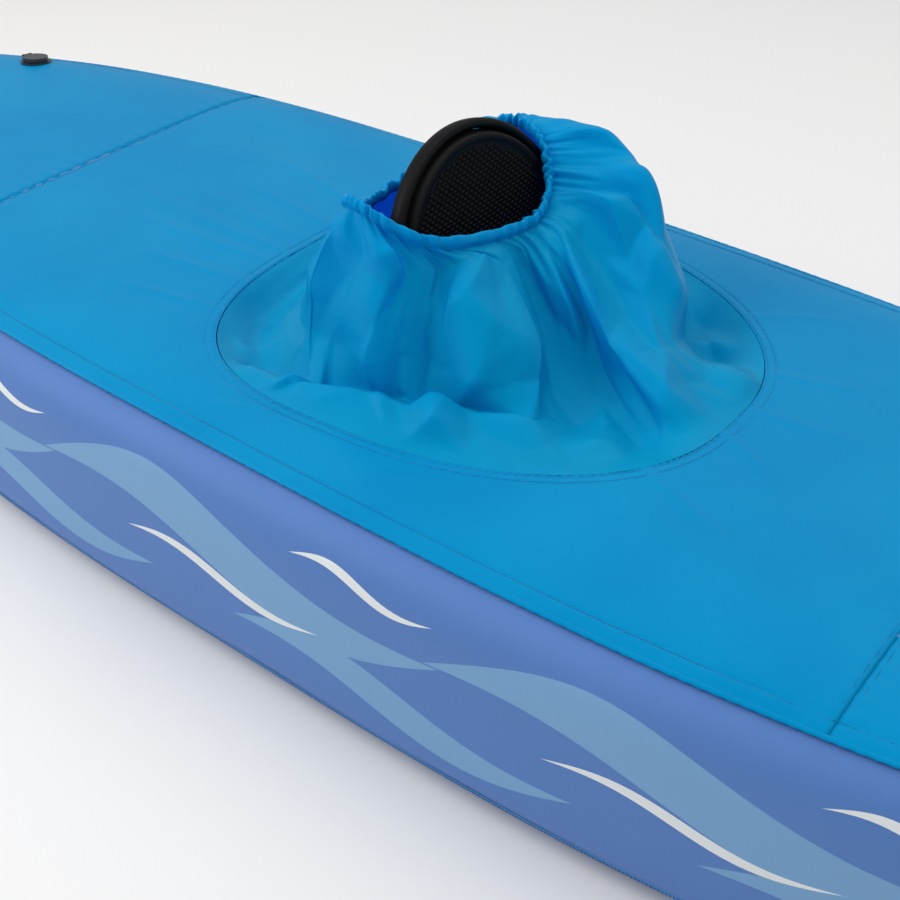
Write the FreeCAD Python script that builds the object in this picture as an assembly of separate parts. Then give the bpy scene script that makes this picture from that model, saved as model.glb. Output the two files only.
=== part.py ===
import FreeCAD, Part
import math
import os
from FreeCAD import Placement, Rotation, Vector

# A decked inflatable kayak with a gathered cockpit skirt and a tilting moulded backrest.
# Millimetres. +X is the bow, +Y is port, +Z is up, and the origin is on the floor amidships.

# Hull form
HALF_LENGTH = 1600
END_X = 1585
BEAM = 880
PLAN_POWER = 3
DECK_HEIGHT = 318
KEEL_RISE = 100
KEEL_FLAT = 0.3
SHEER_DROP = 50
WIDEST_SHARE = 150 / 315
TOP_POWER = 6
BOTTOM_POWER = 9

# Skins, as distances outwards from the hull's printed side panel
SKIN = 1.5
DECK_OUT = 3.0
DECK_THICK = 1.3
BAND_OUT = 1.4
BAND_THICK = 1.0
CHAMBER_GAP = 6.0

# Angles round the hull's section: -90 keel, 0 widest, 45 top corner, 90 deck centre line
BOTTOM_SEAM_ANGLE = -38.6
DECK_EDGE_ANGLE = 45.0
HEM_ANGLE = 48.6
PANEL_TOP_ANGLE = 54.0
DECK_TAPE_ANGLE = 62.0

# Air chambers
CHAMBER_HALF_WIDTH = 72
CHAMBER_END_X = 1540
FLOOR_HALF_LENGTH = 1250
FLOOR_THICK = 85
FLOOR_LIFT = 6
FLOOR_GAP = 10

# Deck and cockpit
DECK_SEAM_X = 710
TAPE_WIDTH = 20
COCKPIT_X = 76.5
COCKPIT_HALF_LENGTH = 337.8
COCKPIT_HALF_WIDTH = 291.6
COCKPIT_TAPER = -0.194
COCKPIT_POWER = 2.548
COCKPIT_TAPE_WIDTH = 14
SKIRT_THICK = 1.2
CASING_HEIGHT = 20
ELASTIC_HEIGHT = 14

# The collar's stitch line at every 45 degrees round the cockpit, from the bow by port
COLLAR = [
    Vector(92, 20, 450),
    Vector(74, 98, 460),
    Vector(22, 146, 502),
    Vector(-36, 138, 515),
    Vector(-78, 20, 478),
    Vector(-66, -96, 482),
    Vector(-8, -178, 530),
    Vector(70, -130, 484),
]

# Seat
RECLINE = 18
BACK_FOOT = Vector(152, 0, 125)
BACK_LENGTH = 471
BACK_HALF_WIDTH = 167
BACK_FOOT_RADIUS = 50
RIM_WIDTH = 18
RIM_DEPTH = 20
RIM_ROUND = 6
PAD_GAP = 0.5
PAD_DEPTH = 16
PANEL_INSET = 30
PANEL_RAISE = 7
BOARD_THICK = 2.8
LUG_UP = 230
LUG_SIZE = Vector(14, 12, 34)
LUG_GAP = 0.3
CUSHION_X = (172, 500)
CUSHION_HALF_WIDTH = 190
CUSHION_Z = (97, 146)
CUSHION_ROUND = 18
HINGE_WEB = Vector(40, 240, 2)
STRAP_WIDTH = 25
STRAP_THICK = 1.5
BUCKLE = Vector(30, 7, 36)
BUCKLE_SLOT = Vector(40, 2.9, 28)
ANCHOR_PATCH = Vector(50, 1.6, 60)
ANCHOR_RING = Vector(6, 16, 36)
RING_IN = 9
ANCHOR_Z = 258
FRONT_ANCHOR_X = 470
REAR_ANCHOR_X = -230

# Valves
VALVE_X = -1120
FLOOR_VALVE_X = -150
VALVE_FLANGE_R = 27
VALVE_BORE_R = 12
VALVE_NECK_R = 19
CAP_R = 22
CAP_INNER_R = 20.2

# Handles, drain and skeg track
HANDLE_X = 1400
HANDLE_REACH = 72
GRIP_R = 10
GRIP_LENGTH = 104
GRIP_ROUND = 4
HANDLE_ROD_R = 2.5
HANDLE_ROD_Z = 8
KEEPER = Vector(12, 10, 10.5)
KEEPER_Y = (-46, 36)
HANDLE_PATCH = Vector(46, 108, 1.4)
RUN_WIDTH = 20
RUN_THICK = 2.4
RUN_Y = (-33, 13)
EYE_R = 5
DRAIN_X = -1330
DRAIN_R = 11
SKEG_X = (-1230, -1070)
SKEG_HALF_WIDTH = 28
SKEG_DEPTH = 7
STEM_REACH = 62
STEM_NOSE = 14
STEM_CAP_LOW = 124
STEM_CAP_HIGH = 250
STEM_CAP_THICK = 1.6
SKIN_CLEAR = 0.6


def save(name, *shapes):
    solid = shapes[0] if len(shapes) == 1 else Part.makeCompound(list(shapes))
    solid.exportStep(f"parts/{name}.step")


def steps(start, end, count):
    return [start + (end - start) * k / (count - 1) for k in range(count)]


def station(x):
    """Half-beam, keel height, widest height and side panel's top height at x.

    The keel dips KEEL_FLAT under the floor amidships, where bottom_skin() is cut flat."""
    along = min(abs(x) / HALF_LENGTH, 1)
    half = BEAM / 2 * (1 - along**PLAN_POWER)
    keel = KEEL_RISE * along**4 - KEEL_FLAT
    top = DECK_HEIGHT - DECK_OUT - SHEER_DROP * along**6
    return half, keel, keel + (top - keel) * WIDEST_SHARE, top


def hull_point(x, angle, out=0.0):
    """A point round the section at x, moved outwards. Port is -90 to 90, starboard 90 to 270."""
    half, keel, widest, top = station(x)
    turn = math.radians(angle)
    across = math.cos(turn)
    up = math.sin(turn)
    power = TOP_POWER if up >= 0 else BOTTOM_POWER
    reach = (abs(across) ** power + abs(up) ** power) ** (-1 / power)
    rise = top - widest if up >= 0 else widest - keel
    return Vector(x, (half + out) * reach * across, widest + (rise + out) * reach * up)


def deck_z(x, y, out):
    half, keel, widest, top = station(x)
    share = min(abs(y) / (half + out), 1)
    return widest + (top - widest + out) * (1 - share**TOP_POWER) ** (1 / TOP_POWER)


def normals(rows, ring):
    """Unit normals of a grid of points, by central differences."""
    found = []
    last = len(rows[0]) - 1
    for i, row in enumerate(rows):
        line = []
        for j in range(len(row)):
            before = j - 1
            after = j + 1
            if ring:
                before = before if j > 0 else last - 1
                after = after if j < last else 1
            else:
                before = max(before, 0)
                after = min(after, last)
            along = row[after] - row[before]
            over = rows[min(i + 1, len(rows) - 1)][j] - rows[max(i - 1, 0)][j]
            line.append(along.cross(over).normalize())
        found.append(line)
    return found


def sheet(rows, thickness, ring=False):
    """A closed solid between a grid of points and the same grid moved along its normals."""
    shift = normals(rows, ring)
    moved = []
    for row, ways in zip(rows, shift):
        moved.append([p + n * thickness for p, n in zip(row, ways)])
    faces = []
    edges = []
    for grid in (rows, moved):
        surface = Part.BSplineSurface()
        surface.interpolate(grid)
        face = surface.toShape()
        faces.append(face)
        edges.append([e for e in face.Edges if not ring or e.isClosed()])
    for first, second in zip(*edges):
        faces.extend(Part.makeRuledSurface(first, second).Faces)
    shell = Part.Shape(Part.makeShell(faces))
    shell.sewShape()
    solid = Part.makeSolid(shell.Shells[0])
    if solid.Volume < 0:
        solid.reverse()
    return solid


def skin(x_values, angles, out, thickness):
    """A skin whose outer face lies out from the side panel, and whose thickness goes inwards.

    Both x_values and angles rise, which turns the grid's normals outwards."""
    rows = [[hull_point(x, a, out) for a in angles] for x in x_values]
    return sheet(rows, -thickness)


def end_biased(start, end, count):
    """Stations from start to end, closer together towards the hull's ends."""
    values = []
    for k in range(count):
        share = math.sin(math.pi / 2 * (2 * k / (count - 1) - 1))
        values.append((start + end) / 2 + (end - start) / 2 * share)
    return values


def mirrored(angles):
    return [180 - a for a in reversed(angles)]


# --- skins -------------------------------------------------------------------------------

HULL_X = end_biased(-END_X, END_X, 19)


def bottom_skin():
    """The bottom, flat where it lies on the floor."""
    bottom = skin(HULL_X, steps(-180 - BOTTOM_SEAM_ANGLE, BOTTOM_SEAM_ANGLE, 25), 0, SKIN)
    below = Part.makeBox(2 * HALF_LENGTH, BEAM, 10, Vector(-HALF_LENGTH, -BEAM / 2, -10))
    save("bottom_skin", bottom.cut(below).cut(drain()))


def side_panels():
    angles = steps(BOTTOM_SEAM_ANGLE + 0.4, PANEL_TOP_ANGLE, 15)
    for word, side, way in (("port", 1, angles), ("starboard", -1, mirrored(angles))):
        panel = skin(HULL_X, way, 0, SKIN)
        save(f"side_panel_{word}", panel.cut(valve_well(side)))


def bottom_seam_tapes():
    spread = 2.6
    angles = steps(BOTTOM_SEAM_ANGLE - spread, BOTTOM_SEAM_ANGLE + spread, 5)
    save("bottom_seam_tape_port", skin(HULL_X, angles, BAND_OUT, BAND_THICK))
    save("bottom_seam_tape_starboard", skin(HULL_X, mirrored(angles), BAND_OUT, BAND_THICK))


def deck_hems():
    angles = steps(DECK_EDGE_ANGLE + 0.3, HEM_ANGLE, 5)
    save("deck_hem_port", skin(HULL_X, angles, BAND_OUT, BAND_THICK))
    save("deck_hem_starboard", skin(HULL_X, mirrored(angles), BAND_OUT, BAND_THICK))


def cockpit_edge(angle, grow=0.0):
    """A point of the cockpit's egg-shaped edge, moved outwards in plan."""
    turn = math.radians(angle)
    forward = math.copysign(abs(math.cos(turn)) ** (2 / COCKPIT_POWER), math.cos(turn))
    aside = math.copysign(abs(math.sin(turn)) ** (2 / COCKPIT_POWER), math.sin(turn))
    x = COCKPIT_X + (COCKPIT_HALF_LENGTH + grow) * forward
    y = (COCKPIT_HALF_WIDTH + grow) * aside * (1 + COCKPIT_TAPER * math.cos(turn))
    return x, y


def deck_placement(x, y):
    """A frame standing on the deck's outer face, its Z along the deck's normal."""
    step = 5
    fore = Vector(2 * step, 0, deck_z(x + step, y, DECK_OUT) - deck_z(x - step, y, DECK_OUT))
    port = Vector(0, 2 * step, deck_z(x, y + step, DECK_OUT) - deck_z(x, y - step, DECK_OUT))
    turn = Rotation(Vector(0, 0, 1), fore.cross(port).normalize())
    return Placement(Vector(x, y, deck_z(x, y, DECK_OUT)), turn)


def valve_placement(side):
    """Where a side chamber's valve stands on the after deck."""
    half = station(VALVE_X)[0]
    return deck_placement(VALVE_X, side * (half - CHAMBER_GAP - CHAMBER_HALF_WIDTH))


def valve_well(side):
    """The hole for a side chamber's valve, through the deck and into the chamber."""
    well = Part.makeCylinder(VALVE_NECK_R + 1, 30, Vector(0, 0, -18))
    well.Placement = valve_placement(side)
    return well


def deck_panels():
    angles = steps(DECK_EDGE_ANGLE, 180 - DECK_EDGE_ANGLE, 27)
    gap = 0.2
    middle = skin(steps(-DECK_SEAM_X + gap, DECK_SEAM_X - gap, 11), angles, DECK_OUT, DECK_THICK)
    edge = [cockpit_edge(a) for a in range(0, 360, 10)]
    curve = Part.BSplineCurve()
    curve.interpolate([Vector(x, y, DECK_HEIGHT - 60) for x, y in edge], True)
    hole = Part.Face(Part.Wire([curve.toShape()])).extrude(Vector(0, 0, 120))
    save("deck_panel_mid", middle.cut(hole))
    save("deck_panel_fore", skin(steps(DECK_SEAM_X + gap, END_X, 10), angles, DECK_OUT, DECK_THICK))
    after = skin(steps(-END_X, -DECK_SEAM_X - gap, 10), angles, DECK_OUT, DECK_THICK)
    save("deck_panel_aft", after.cut(valve_well(1)).cut(valve_well(-1)))


def deck_seam_tapes():
    angles = steps(DECK_TAPE_ANGLE, 180 - DECK_TAPE_ANGLE, 13)
    for name, x in (("fore", DECK_SEAM_X), ("aft", -DECK_SEAM_X)):
        xs = steps(x - TAPE_WIDTH / 2, x + TAPE_WIDTH / 2, 3)
        save(f"deck_seam_tape_{name}", skin(xs, angles, BAND_OUT, BAND_THICK))


def cockpit_seam_tape():
    rows = []
    for grow in steps(2, 2 + COCKPIT_TAPE_WIDTH, 3):
        ring = []
        for angle in range(0, 361, 10):
            x, y = cockpit_edge(angle, grow)
            ring.append(Vector(x, y, deck_z(x, y, BAND_OUT)))
        rows.append(ring)
    save("cockpit_seam_tape", sheet(rows, BAND_THICK, ring=True))


# --- cockpit skirt -------------------------------------------------------------------------


def collar_point(angle):
    """A point on the smooth closed curve through the collar's points."""
    curve = Part.BSplineCurve()
    curve.interpolate(COLLAR, True)
    knots = curve.getKnots()
    place = angle % 360 / 360 * len(COLLAR)
    index = int(place)
    low = knots[index]
    high = knots[index + 1]
    return curve.value(low + (high - low) * (place - index))


def skirt_rows():
    """Rings from the cockpit's seam up to the collar."""
    shares = [(0, 0), (0.22, 0.12), (0.45, 0.34), (0.7, 0.62), (0.88, 0.84), (1, 1)]
    rows = []
    for inwards, upwards in shares:
        ring = []
        for angle in range(0, 361, 10):
            x, y = cockpit_edge(angle, -1.6)
            foot = Vector(x, y, deck_z(x, y, DECK_OUT - SKIRT_THICK))
            head = collar_point(angle)
            flat = foot + (head - foot) * inwards
            ring.append(Vector(flat.x, flat.y, foot.z + (head.z - foot.z) * upwards))
        rows.append(ring)
    return rows


def collar_band(low, high, out, thickness):
    rows = []
    for level in (low, (low + high) / 2, high):
        ring = []
        for angle in range(0, 361, 10):
            head = collar_point(angle)
            away = Vector(head.x, head.y, 0).normalize()
            ring.append(head + away * out + Vector(0, 0, level))
        rows.append(ring)
    return sheet(rows, thickness, ring=True)


def spray_skirt():
    save("spray_skirt", sheet(skirt_rows(), -SKIRT_THICK, ring=True))
    save("waist_casing", collar_band(1.0, CASING_HEIGHT, 3.0, 1.0))
    middle = (CASING_HEIGHT - ELASTIC_HEIGHT) / 2
    save("waist_elastic", collar_band(middle, middle + ELASTIC_HEIGHT, 0.8, 1.2))


# --- air chambers ----------------------------------------------------------------------------


def ring_wire(points):
    curve = Part.BSplineCurve()
    curve.interpolate(points, True)
    return Part.Wire([curve.toShape()])


def chamber_ring(x):
    """The port chamber's section: the hull's own curve outboard, mirrored inboard."""
    half, keel, widest, top = station(x)
    outer = half - CHAMBER_GAP
    width = min(CHAMBER_HALF_WIDTH, (outer - 2) / 2)
    middle = outer - width
    share = middle / outer
    low = -math.degrees(math.atan2((1 - share**BOTTOM_POWER) ** (1 / BOTTOM_POWER), share))
    high = math.degrees(math.atan2((1 - share**TOP_POWER) ** (1 / TOP_POWER), share))
    outboard = [hull_point(x, a, -CHAMBER_GAP) for a in steps(low, high, 23)]
    inboard = [Vector(p.x, 2 * middle - p.y, p.z) for p in reversed(outboard[1:-1])]
    return ring_wire(outboard + inboard)


def side_chambers():
    """Two long chambers, kept 1 mm off the middle plane where they meet at the ends."""
    stations = end_biased(-CHAMBER_END_X, CHAMBER_END_X, 15)
    port = Part.makeLoft([chamber_ring(x) for x in stations], True, False)
    past_middle = Part.makeBox(2 * HALF_LENGTH, 100, 2 * DECK_HEIGHT, Vector(-HALF_LENGTH, -99, 0))
    port = port.cut(past_middle)
    starboard = port.mirror(Vector(0, 0, 0), Vector(0, 1, 0))
    save("side_chamber_port", port.cut(valve_well(1)))
    save("side_chamber_starboard", starboard.cut(valve_well(-1)))


def floor_ring(x):
    half, keel, widest, top = station(x)
    across = max(half - CHAMBER_GAP - 2 * CHAMBER_HALF_WIDTH - FLOOR_GAP, 20)
    points = []
    for k in range(16):
        turn = 2 * math.pi * k / 16
        power = 5
        reach = (abs(math.cos(turn)) ** power + abs(math.sin(turn)) ** power) ** (-1 / power)
        y = across * reach * math.cos(turn)
        z = keel + FLOOR_LIFT + FLOOR_THICK / 2 * (1 + reach * math.sin(turn))
        points.append(Vector(x, y, z))
    return ring_wire(points)


def floor_chamber():
    stations = steps(-FLOOR_HALF_LENGTH, FLOOR_HALF_LENGTH, 17)
    chamber = Part.makeLoft([floor_ring(x) for x in stations], True, False)
    top = FLOOR_LIFT + FLOOR_THICK
    well = Part.makeCylinder(VALVE_NECK_R + 1, 30, Vector(FLOOR_VALVE_X, 0, top - 10))
    save("floor_chamber", chamber.cut(well))


# --- seat ------------------------------------------------------------------------------------


def back_outline(inset, front, depth):
    """The backrest's arched outline as a slab: front face at x = front, reaching back by depth."""
    half = BACK_HALF_WIDTH - inset
    foot = inset
    shoulder = BACK_LENGTH - BACK_HALF_WIDTH
    corner = max(BACK_FOOT_RADIUS - inset, 4)
    slant = corner * math.sqrt(0.5)

    def at(y, z):
        return Vector(front, y, z)

    edges = [
        Part.LineSegment(at(-half + corner, foot), at(half - corner, foot)),
        Part.Arc(at(half - corner, foot),
                 at(half - corner + slant, foot + corner - slant),
                 at(half, foot + corner)),
        Part.LineSegment(at(half, foot + corner), at(half, shoulder)),
        Part.Arc(at(half, shoulder), at(0, shoulder + half), at(-half, shoulder)),
        Part.LineSegment(at(-half, shoulder), at(-half, foot + corner)),
        Part.Arc(at(-half, foot + corner),
                 at(-half + corner - slant, foot + corner - slant),
                 at(-half + corner, foot)),
    ]
    face = Part.Face(Part.Wire([e.toShape() for e in edges]))
    return face.extrude(Vector(-depth, 0, 0))


def reclined(shape):
    shape.Placement = Placement(BACK_FOOT, Rotation(Vector(0, 1, 0), -RECLINE))
    return shape


def back_point(back, y, up):
    """A point of the backrest's own frame in the kayak's frame."""
    return Placement(BACK_FOOT, Rotation(Vector(0, 1, 0), -RECLINE)).multVec(Vector(back, y, up))


def backrest():
    rim = back_outline(0, 0, RIM_DEPTH).cut(back_outline(RIM_WIDTH, 1, RIM_DEPTH + 2))
    flat_edges = [e for e in rim.Edges if e.BoundBox.XLength < 0.01]
    rim = rim.makeFillet(RIM_ROUND, [e for e in flat_edges if on_outline(e)])
    save("backrest_rim", reclined(rim))
    pad = back_outline(RIM_WIDTH + PAD_GAP, 0, PAD_DEPTH)
    panel = back_outline(PANEL_INSET, PANEL_RAISE, PANEL_RAISE)
    save("backrest_pad", reclined(pad.fuse(panel).removeSplitter()))
    board = back_outline(RIM_WIDTH + PAD_GAP, -PAD_DEPTH - LUG_GAP, BOARD_THICK)
    save("backrest_board", reclined(board))
    lugs = []
    for side in (1, -1):
        corner = Vector(-RIM_DEPTH / 2 - LUG_SIZE.x / 2, 0, LUG_UP - LUG_SIZE.z / 2)
        away = BACK_HALF_WIDTH + LUG_GAP
        corner.y = away if side > 0 else -away - LUG_SIZE.y
        lugs.append(reclined(Part.makeBox(*LUG_SIZE, corner)))
    save("backrest_strap_lugs", *lugs)


def on_outline(edge):
    """Is this edge part of the rim's outer outline?"""
    middle = edge.valueAt((edge.FirstParameter + edge.LastParameter) / 2)
    shoulder = BACK_LENGTH - BACK_HALF_WIDTH
    if middle.z > shoulder:
        away = math.hypot(middle.y, middle.z - shoulder)
        return abs(away - BACK_HALF_WIDTH) < 1
    if abs(abs(middle.y) - BACK_HALF_WIDTH) < 1 or middle.z < 1:
        return True
    centre_y = BACK_HALF_WIDTH - BACK_FOOT_RADIUS
    away = math.hypot(abs(middle.y) - centre_y, middle.z - BACK_FOOT_RADIUS)
    return abs(away - BACK_FOOT_RADIUS) < 1


def seat_cushion():
    length = CUSHION_X[1] - CUSHION_X[0]
    height = CUSHION_Z[1] - CUSHION_Z[0]
    corner = Vector(CUSHION_X[0], -CUSHION_HALF_WIDTH, CUSHION_Z[0])
    cushion = Part.makeBox(length, 2 * CUSHION_HALF_WIDTH, height, corner)
    save("seat_cushion", cushion.makeFillet(CUSHION_ROUND, cushion.Edges))
    low = Vector(CUSHION_X[0] - HINGE_WEB.x, -HINGE_WEB.y / 2, CUSHION_Z[0] - HINGE_WEB.z - 0.5)
    save("seat_base_webbing", Part.makeBox(*HINGE_WEB, low))


def anchor_y(x):
    return station(x)[0] - CHAMBER_GAP - 2 * CHAMBER_HALF_WIDTH - 1.0


def turn_along(run):
    """Turns X along a run, without rolling about it."""
    level = math.degrees(math.atan2(run.y, run.x))
    climb = math.degrees(math.atan2(run.z, math.hypot(run.x, run.y)))
    return Rotation(Vector(0, 0, 1), level).multiply(Rotation(Vector(0, 1, 0), -climb))


def strap_between(start, end, clear):
    """A flat webbing strap between two points, standing on edge, ending clear of both."""
    run = end - start
    length = run.Length - 2 * clear
    corner = Vector(0, -STRAP_THICK / 2, -STRAP_WIDTH / 2)
    strap = Part.makeBox(length, STRAP_THICK, STRAP_WIDTH, corner)
    turn = turn_along(run)
    strap.Placement = Placement(start + run.normalize() * clear, turn)
    return strap


def adjuster_on(start, end, share):
    """A ladder buckle's frame round a strap."""
    run = end - start
    frame = Part.makeBox(*BUCKLE, BUCKLE * -0.5)
    frame = frame.cut(Part.makeBox(*BUCKLE_SLOT, BUCKLE_SLOT * -0.5))
    frame.Placement = Placement(start + run * share, turn_along(run))
    return frame


def seat_straps():
    anchors = []
    adjusters = []
    for word, side in (("port", 1), ("starboard", -1)):
        for place, x in (("front", FRONT_ANCHOR_X), ("rear", REAR_ANCHOR_X)):
            wall = anchor_y(x)
            middle = Vector(x, side * (wall - ANCHOR_PATCH.y / 2), ANCHOR_Z)
            patch = Part.makeBox(*ANCHOR_PATCH, middle - ANCHOR_PATCH * 0.5)
            middle.y = side * (wall - RING_IN)
            ring = Part.makeBox(*ANCHOR_RING, middle - ANCHOR_RING * 0.5)
            anchors.append(patch.fuse(ring))
            lug_y = BACK_HALF_WIDTH + LUG_SIZE.y / 2 + LUG_GAP
            lug = back_point(-RIM_DEPTH / 2, side * lug_y, LUG_UP)
            reach = 1 if place == "front" else -1
            start = lug + Vector(reach * (LUG_SIZE.x / 2 + ANCHOR_RING.x), 0, 0)
            end = middle - Vector(reach * ANCHOR_RING.x, 0, 0)
            save(f"seat_strap_{place}_{word}", strap_between(start, end, 1.0))
            if place == "front":
                adjusters.append(adjuster_on(start, end, 0.7))
    save("strap_anchors", *anchors)
    save("strap_adjusters", *adjusters)


# --- valves, drain, handles, skeg track --------------------------------------------------------


def tube(outer, inner, low, high):
    ring = Part.makeCylinder(outer, high - low, Vector(0, 0, low))
    return ring.cut(Part.makeCylinder(inner, high - low, Vector(0, 0, low)))


def valve_pieces(name, placement):
    """A flanged base, a spring stem in its bore and a cap with a hinge tab on its after side."""
    base = tube(VALVE_FLANGE_R, VALVE_BORE_R, 0.4, 2.5)
    base = base.fuse(tube(VALVE_NECK_R, VALVE_BORE_R, -6, 6))
    for y in (-9, 6):
        base = base.fuse(Part.makeBox(5, 3, 9.5, Vector(-27, y, 1)))
    base = base.removeSplitter()
    stem = Part.makeCylinder(4, 9, Vector(0, 0, -5))
    stem = stem.fuse(Part.makeCylinder(VALVE_BORE_R - 0.4, 2, Vector(0, 0, -6))).removeSplitter()
    cap = Part.makeCylinder(CAP_R, 3.5, Vector(0, 0, 6.6))
    cap = cap.fuse(tube(CAP_R, CAP_INNER_R, 4.5, 6.6))
    cap = cap.fuse(Part.makeBox(5.5, 10, 2.2, Vector(-CAP_R - 4.5, -5, 7.9))).removeSplitter()
    for word, piece in (("base", base), ("stem", stem), ("cap", cap)):
        piece.Placement = placement
        save(f"{name}_valve_{word}", piece)


def valves():
    valve_pieces("port", valve_placement(1))
    valve_pieces("starboard", valve_placement(-1))
    valve_pieces("floor", Placement(Vector(FLOOR_VALVE_X, 0, FLOOR_LIFT + FLOOR_THICK), Rotation()))


def drain():
    """A drain fitting through the bottom skin under the stern, with a pull plug below.

    Returns the hole that it needs in the skin."""
    rise = station(DRAIN_X + 5)[1] - station(DRAIN_X - 5)[1]
    turn = Rotation(Vector(0, 1, 0), -math.degrees(math.atan2(rise, 10)))
    place = Placement(Vector(DRAIN_X, 0, station(DRAIN_X)[1]), turn)
    fitting = tube(DRAIN_R + 8, DRAIN_R, -3, -0.9).fuse(tube(DRAIN_R + 2.5, DRAIN_R, -0.9, 9))
    fitting = fitting.removeSplitter()
    plug = Part.makeCylinder(DRAIN_R - 0.4, 13, Vector(0, 0, -6))
    plug = plug.fuse(Part.makeCylinder(DRAIN_R + 5, 3, Vector(0, 0, -6.3))).removeSplitter()
    hole = Part.makeCylinder(DRAIN_R + 3, 40, Vector(0, 0, -20))
    for piece in (fitting, plug, hole):
        piece.Placement = place
    save("drain_fitting", fitting)
    save("drain_plug", plug)
    return hole


def end_handle(name, side):
    """A patch, two rod keepers, and a grip on two webbing runs that turn on the rod."""
    x = side * HANDLE_X
    top = deck_z(x, 0, DECK_OUT)
    slope = math.degrees(math.atan2(deck_z(x + side * 80, 0, DECK_OUT) - top, 80))
    across = Vector(0, 1, 0)
    anchor = Part.makeCylinder(HANDLE_ROD_R, -2 * KEEPER_Y[0], Vector(0, KEEPER_Y[0], HANDLE_ROD_Z), across)
    for y in KEEPER_Y:
        anchor = anchor.fuse(Part.makeBox(*KEEPER, Vector(-KEEPER.x / 2, y, 2.5)))
    patch_z = HANDLE_PATCH.z / 2 + 0.8
    patch = Part.makeBox(*HANDLE_PATCH, Vector(0, 0, patch_z) - HANDLE_PATCH * 0.5)
    webbing = []
    for y in RUN_Y:
        end = Vector(0, y, HANDLE_ROD_Z)
        run = Part.makeBox(HANDLE_REACH - 6.5, RUN_WIDTH, RUN_THICK, end + Vector(2, 0, 1.4))
        run = run.fuse(Part.makeCylinder(EYE_R, RUN_WIDTH, end, across))
        run = run.cut(Part.makeCylinder(HANDLE_ROD_R + 0.4, RUN_WIDTH, end, across))
        webbing.append(run.removeSplitter())
    grip_end = Vector(HANDLE_REACH + 7, -GRIP_LENGTH / 2, HANDLE_ROD_Z + 2.6)
    grip = Part.makeCylinder(GRIP_R, GRIP_LENGTH, grip_end, across)
    grip = grip.makeFillet(GRIP_ROUND, [e for e in grip.Edges if e.isClosed()])
    pieces = {"anchor": [anchor.removeSplitter()], "patch": [patch], "webbing": webbing, "grip": [grip]}
    for word, group in pieces.items():
        placed = []
        for piece in group:
            piece.rotate(Vector(0, 0, 0), Vector(0, 1, 0), -slope)
            if side < 0:
                piece.rotate(Vector(0, 0, 0), Vector(0, 0, 1), 180)
            piece.translate(Vector(x, 0, top))
            placed.append(piece)
        save(f"{name}_handle_{word}", *placed)


def stem_outline(z, out, nose):
    """The hull's level outline round the bow at height z, moved outwards, from port to starboard."""
    port = []
    for x in steps(END_X - STEM_REACH, END_X, 5):
        half, keel, widest, top = station(x)
        power = TOP_POWER if z > widest else BOTTOM_POWER
        share = (z - widest) / (top - widest if z > widest else widest - keel)
        port.append(Vector(x, (half + out) * (1 - abs(share) ** power) ** (1 / power), z))
    tip = port[-1]
    for turn in (30, 60):
        forward = nose * math.sin(math.radians(turn))
        port.append(Vector(tip.x + forward, tip.y * math.cos(math.radians(turn)), z))
    starboard = [Vector(p.x, -p.y, z) for p in reversed(port)]
    return port + [Vector(tip.x + nose, 0, z)] + starboard


def stem_caps():
    """A moulded patch wrapped round each stem, standing off the skins."""
    out = DECK_OUT + 1.2
    sections = []
    for z in steps(STEM_CAP_LOW, STEM_CAP_HIGH, 5):
        outer = stem_outline(z, out, STEM_NOSE)
        inner = stem_outline(z, out - STEM_CAP_THICK, STEM_NOSE - STEM_CAP_THICK)
        ring = outer + inner[::-1]
        sections.append(Part.makePolygon(ring + ring[:1]))
    cap = Part.makeLoft(sections, True, True)
    save("bow_stem_cap", cap)
    save("stern_stem_cap", cap.mirror(Vector(0, 0, 0), Vector(1, 0, 0)))


def skeg_track():
    """A moulded track under the stern that a fin slides into, with a groove along it."""
    xs = steps(SKEG_X[0], SKEG_X[1], 5)
    face = SKIN_CLEAR
    rows = [[Vector(x, y, station(x)[1] - face) for y in steps(-SKEG_HALF_WIDTH, SKEG_HALF_WIDTH, 5)]
            for x in xs]
    track = sheet(rows, SKEG_DEPTH)
    mouth = steps(SKEG_X[0] - 5, SKEG_X[1] - 18, 5)
    below = face + SKEG_DEPTH + 0.5
    rows = [[Vector(x, y, station(x)[1] - below) for y in steps(-4, 4, 3)] for x in mouth]
    save("skeg_track", track.cut(sheet(rows, -4)))


bottom_skin()
side_panels()
bottom_seam_tapes()
deck_hems()
deck_panels()
deck_seam_tapes()
cockpit_seam_tape()
spray_skirt()
side_chambers()
floor_chamber()
backrest()
seat_cushion()
seat_straps()
valves()
end_handle("bow", 1)
end_handle("stern", -1)
stem_caps()
skeg_track()
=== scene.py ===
import math

import bmesh
import bpy
import numpy as np
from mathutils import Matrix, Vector, geometry, noise


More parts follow.
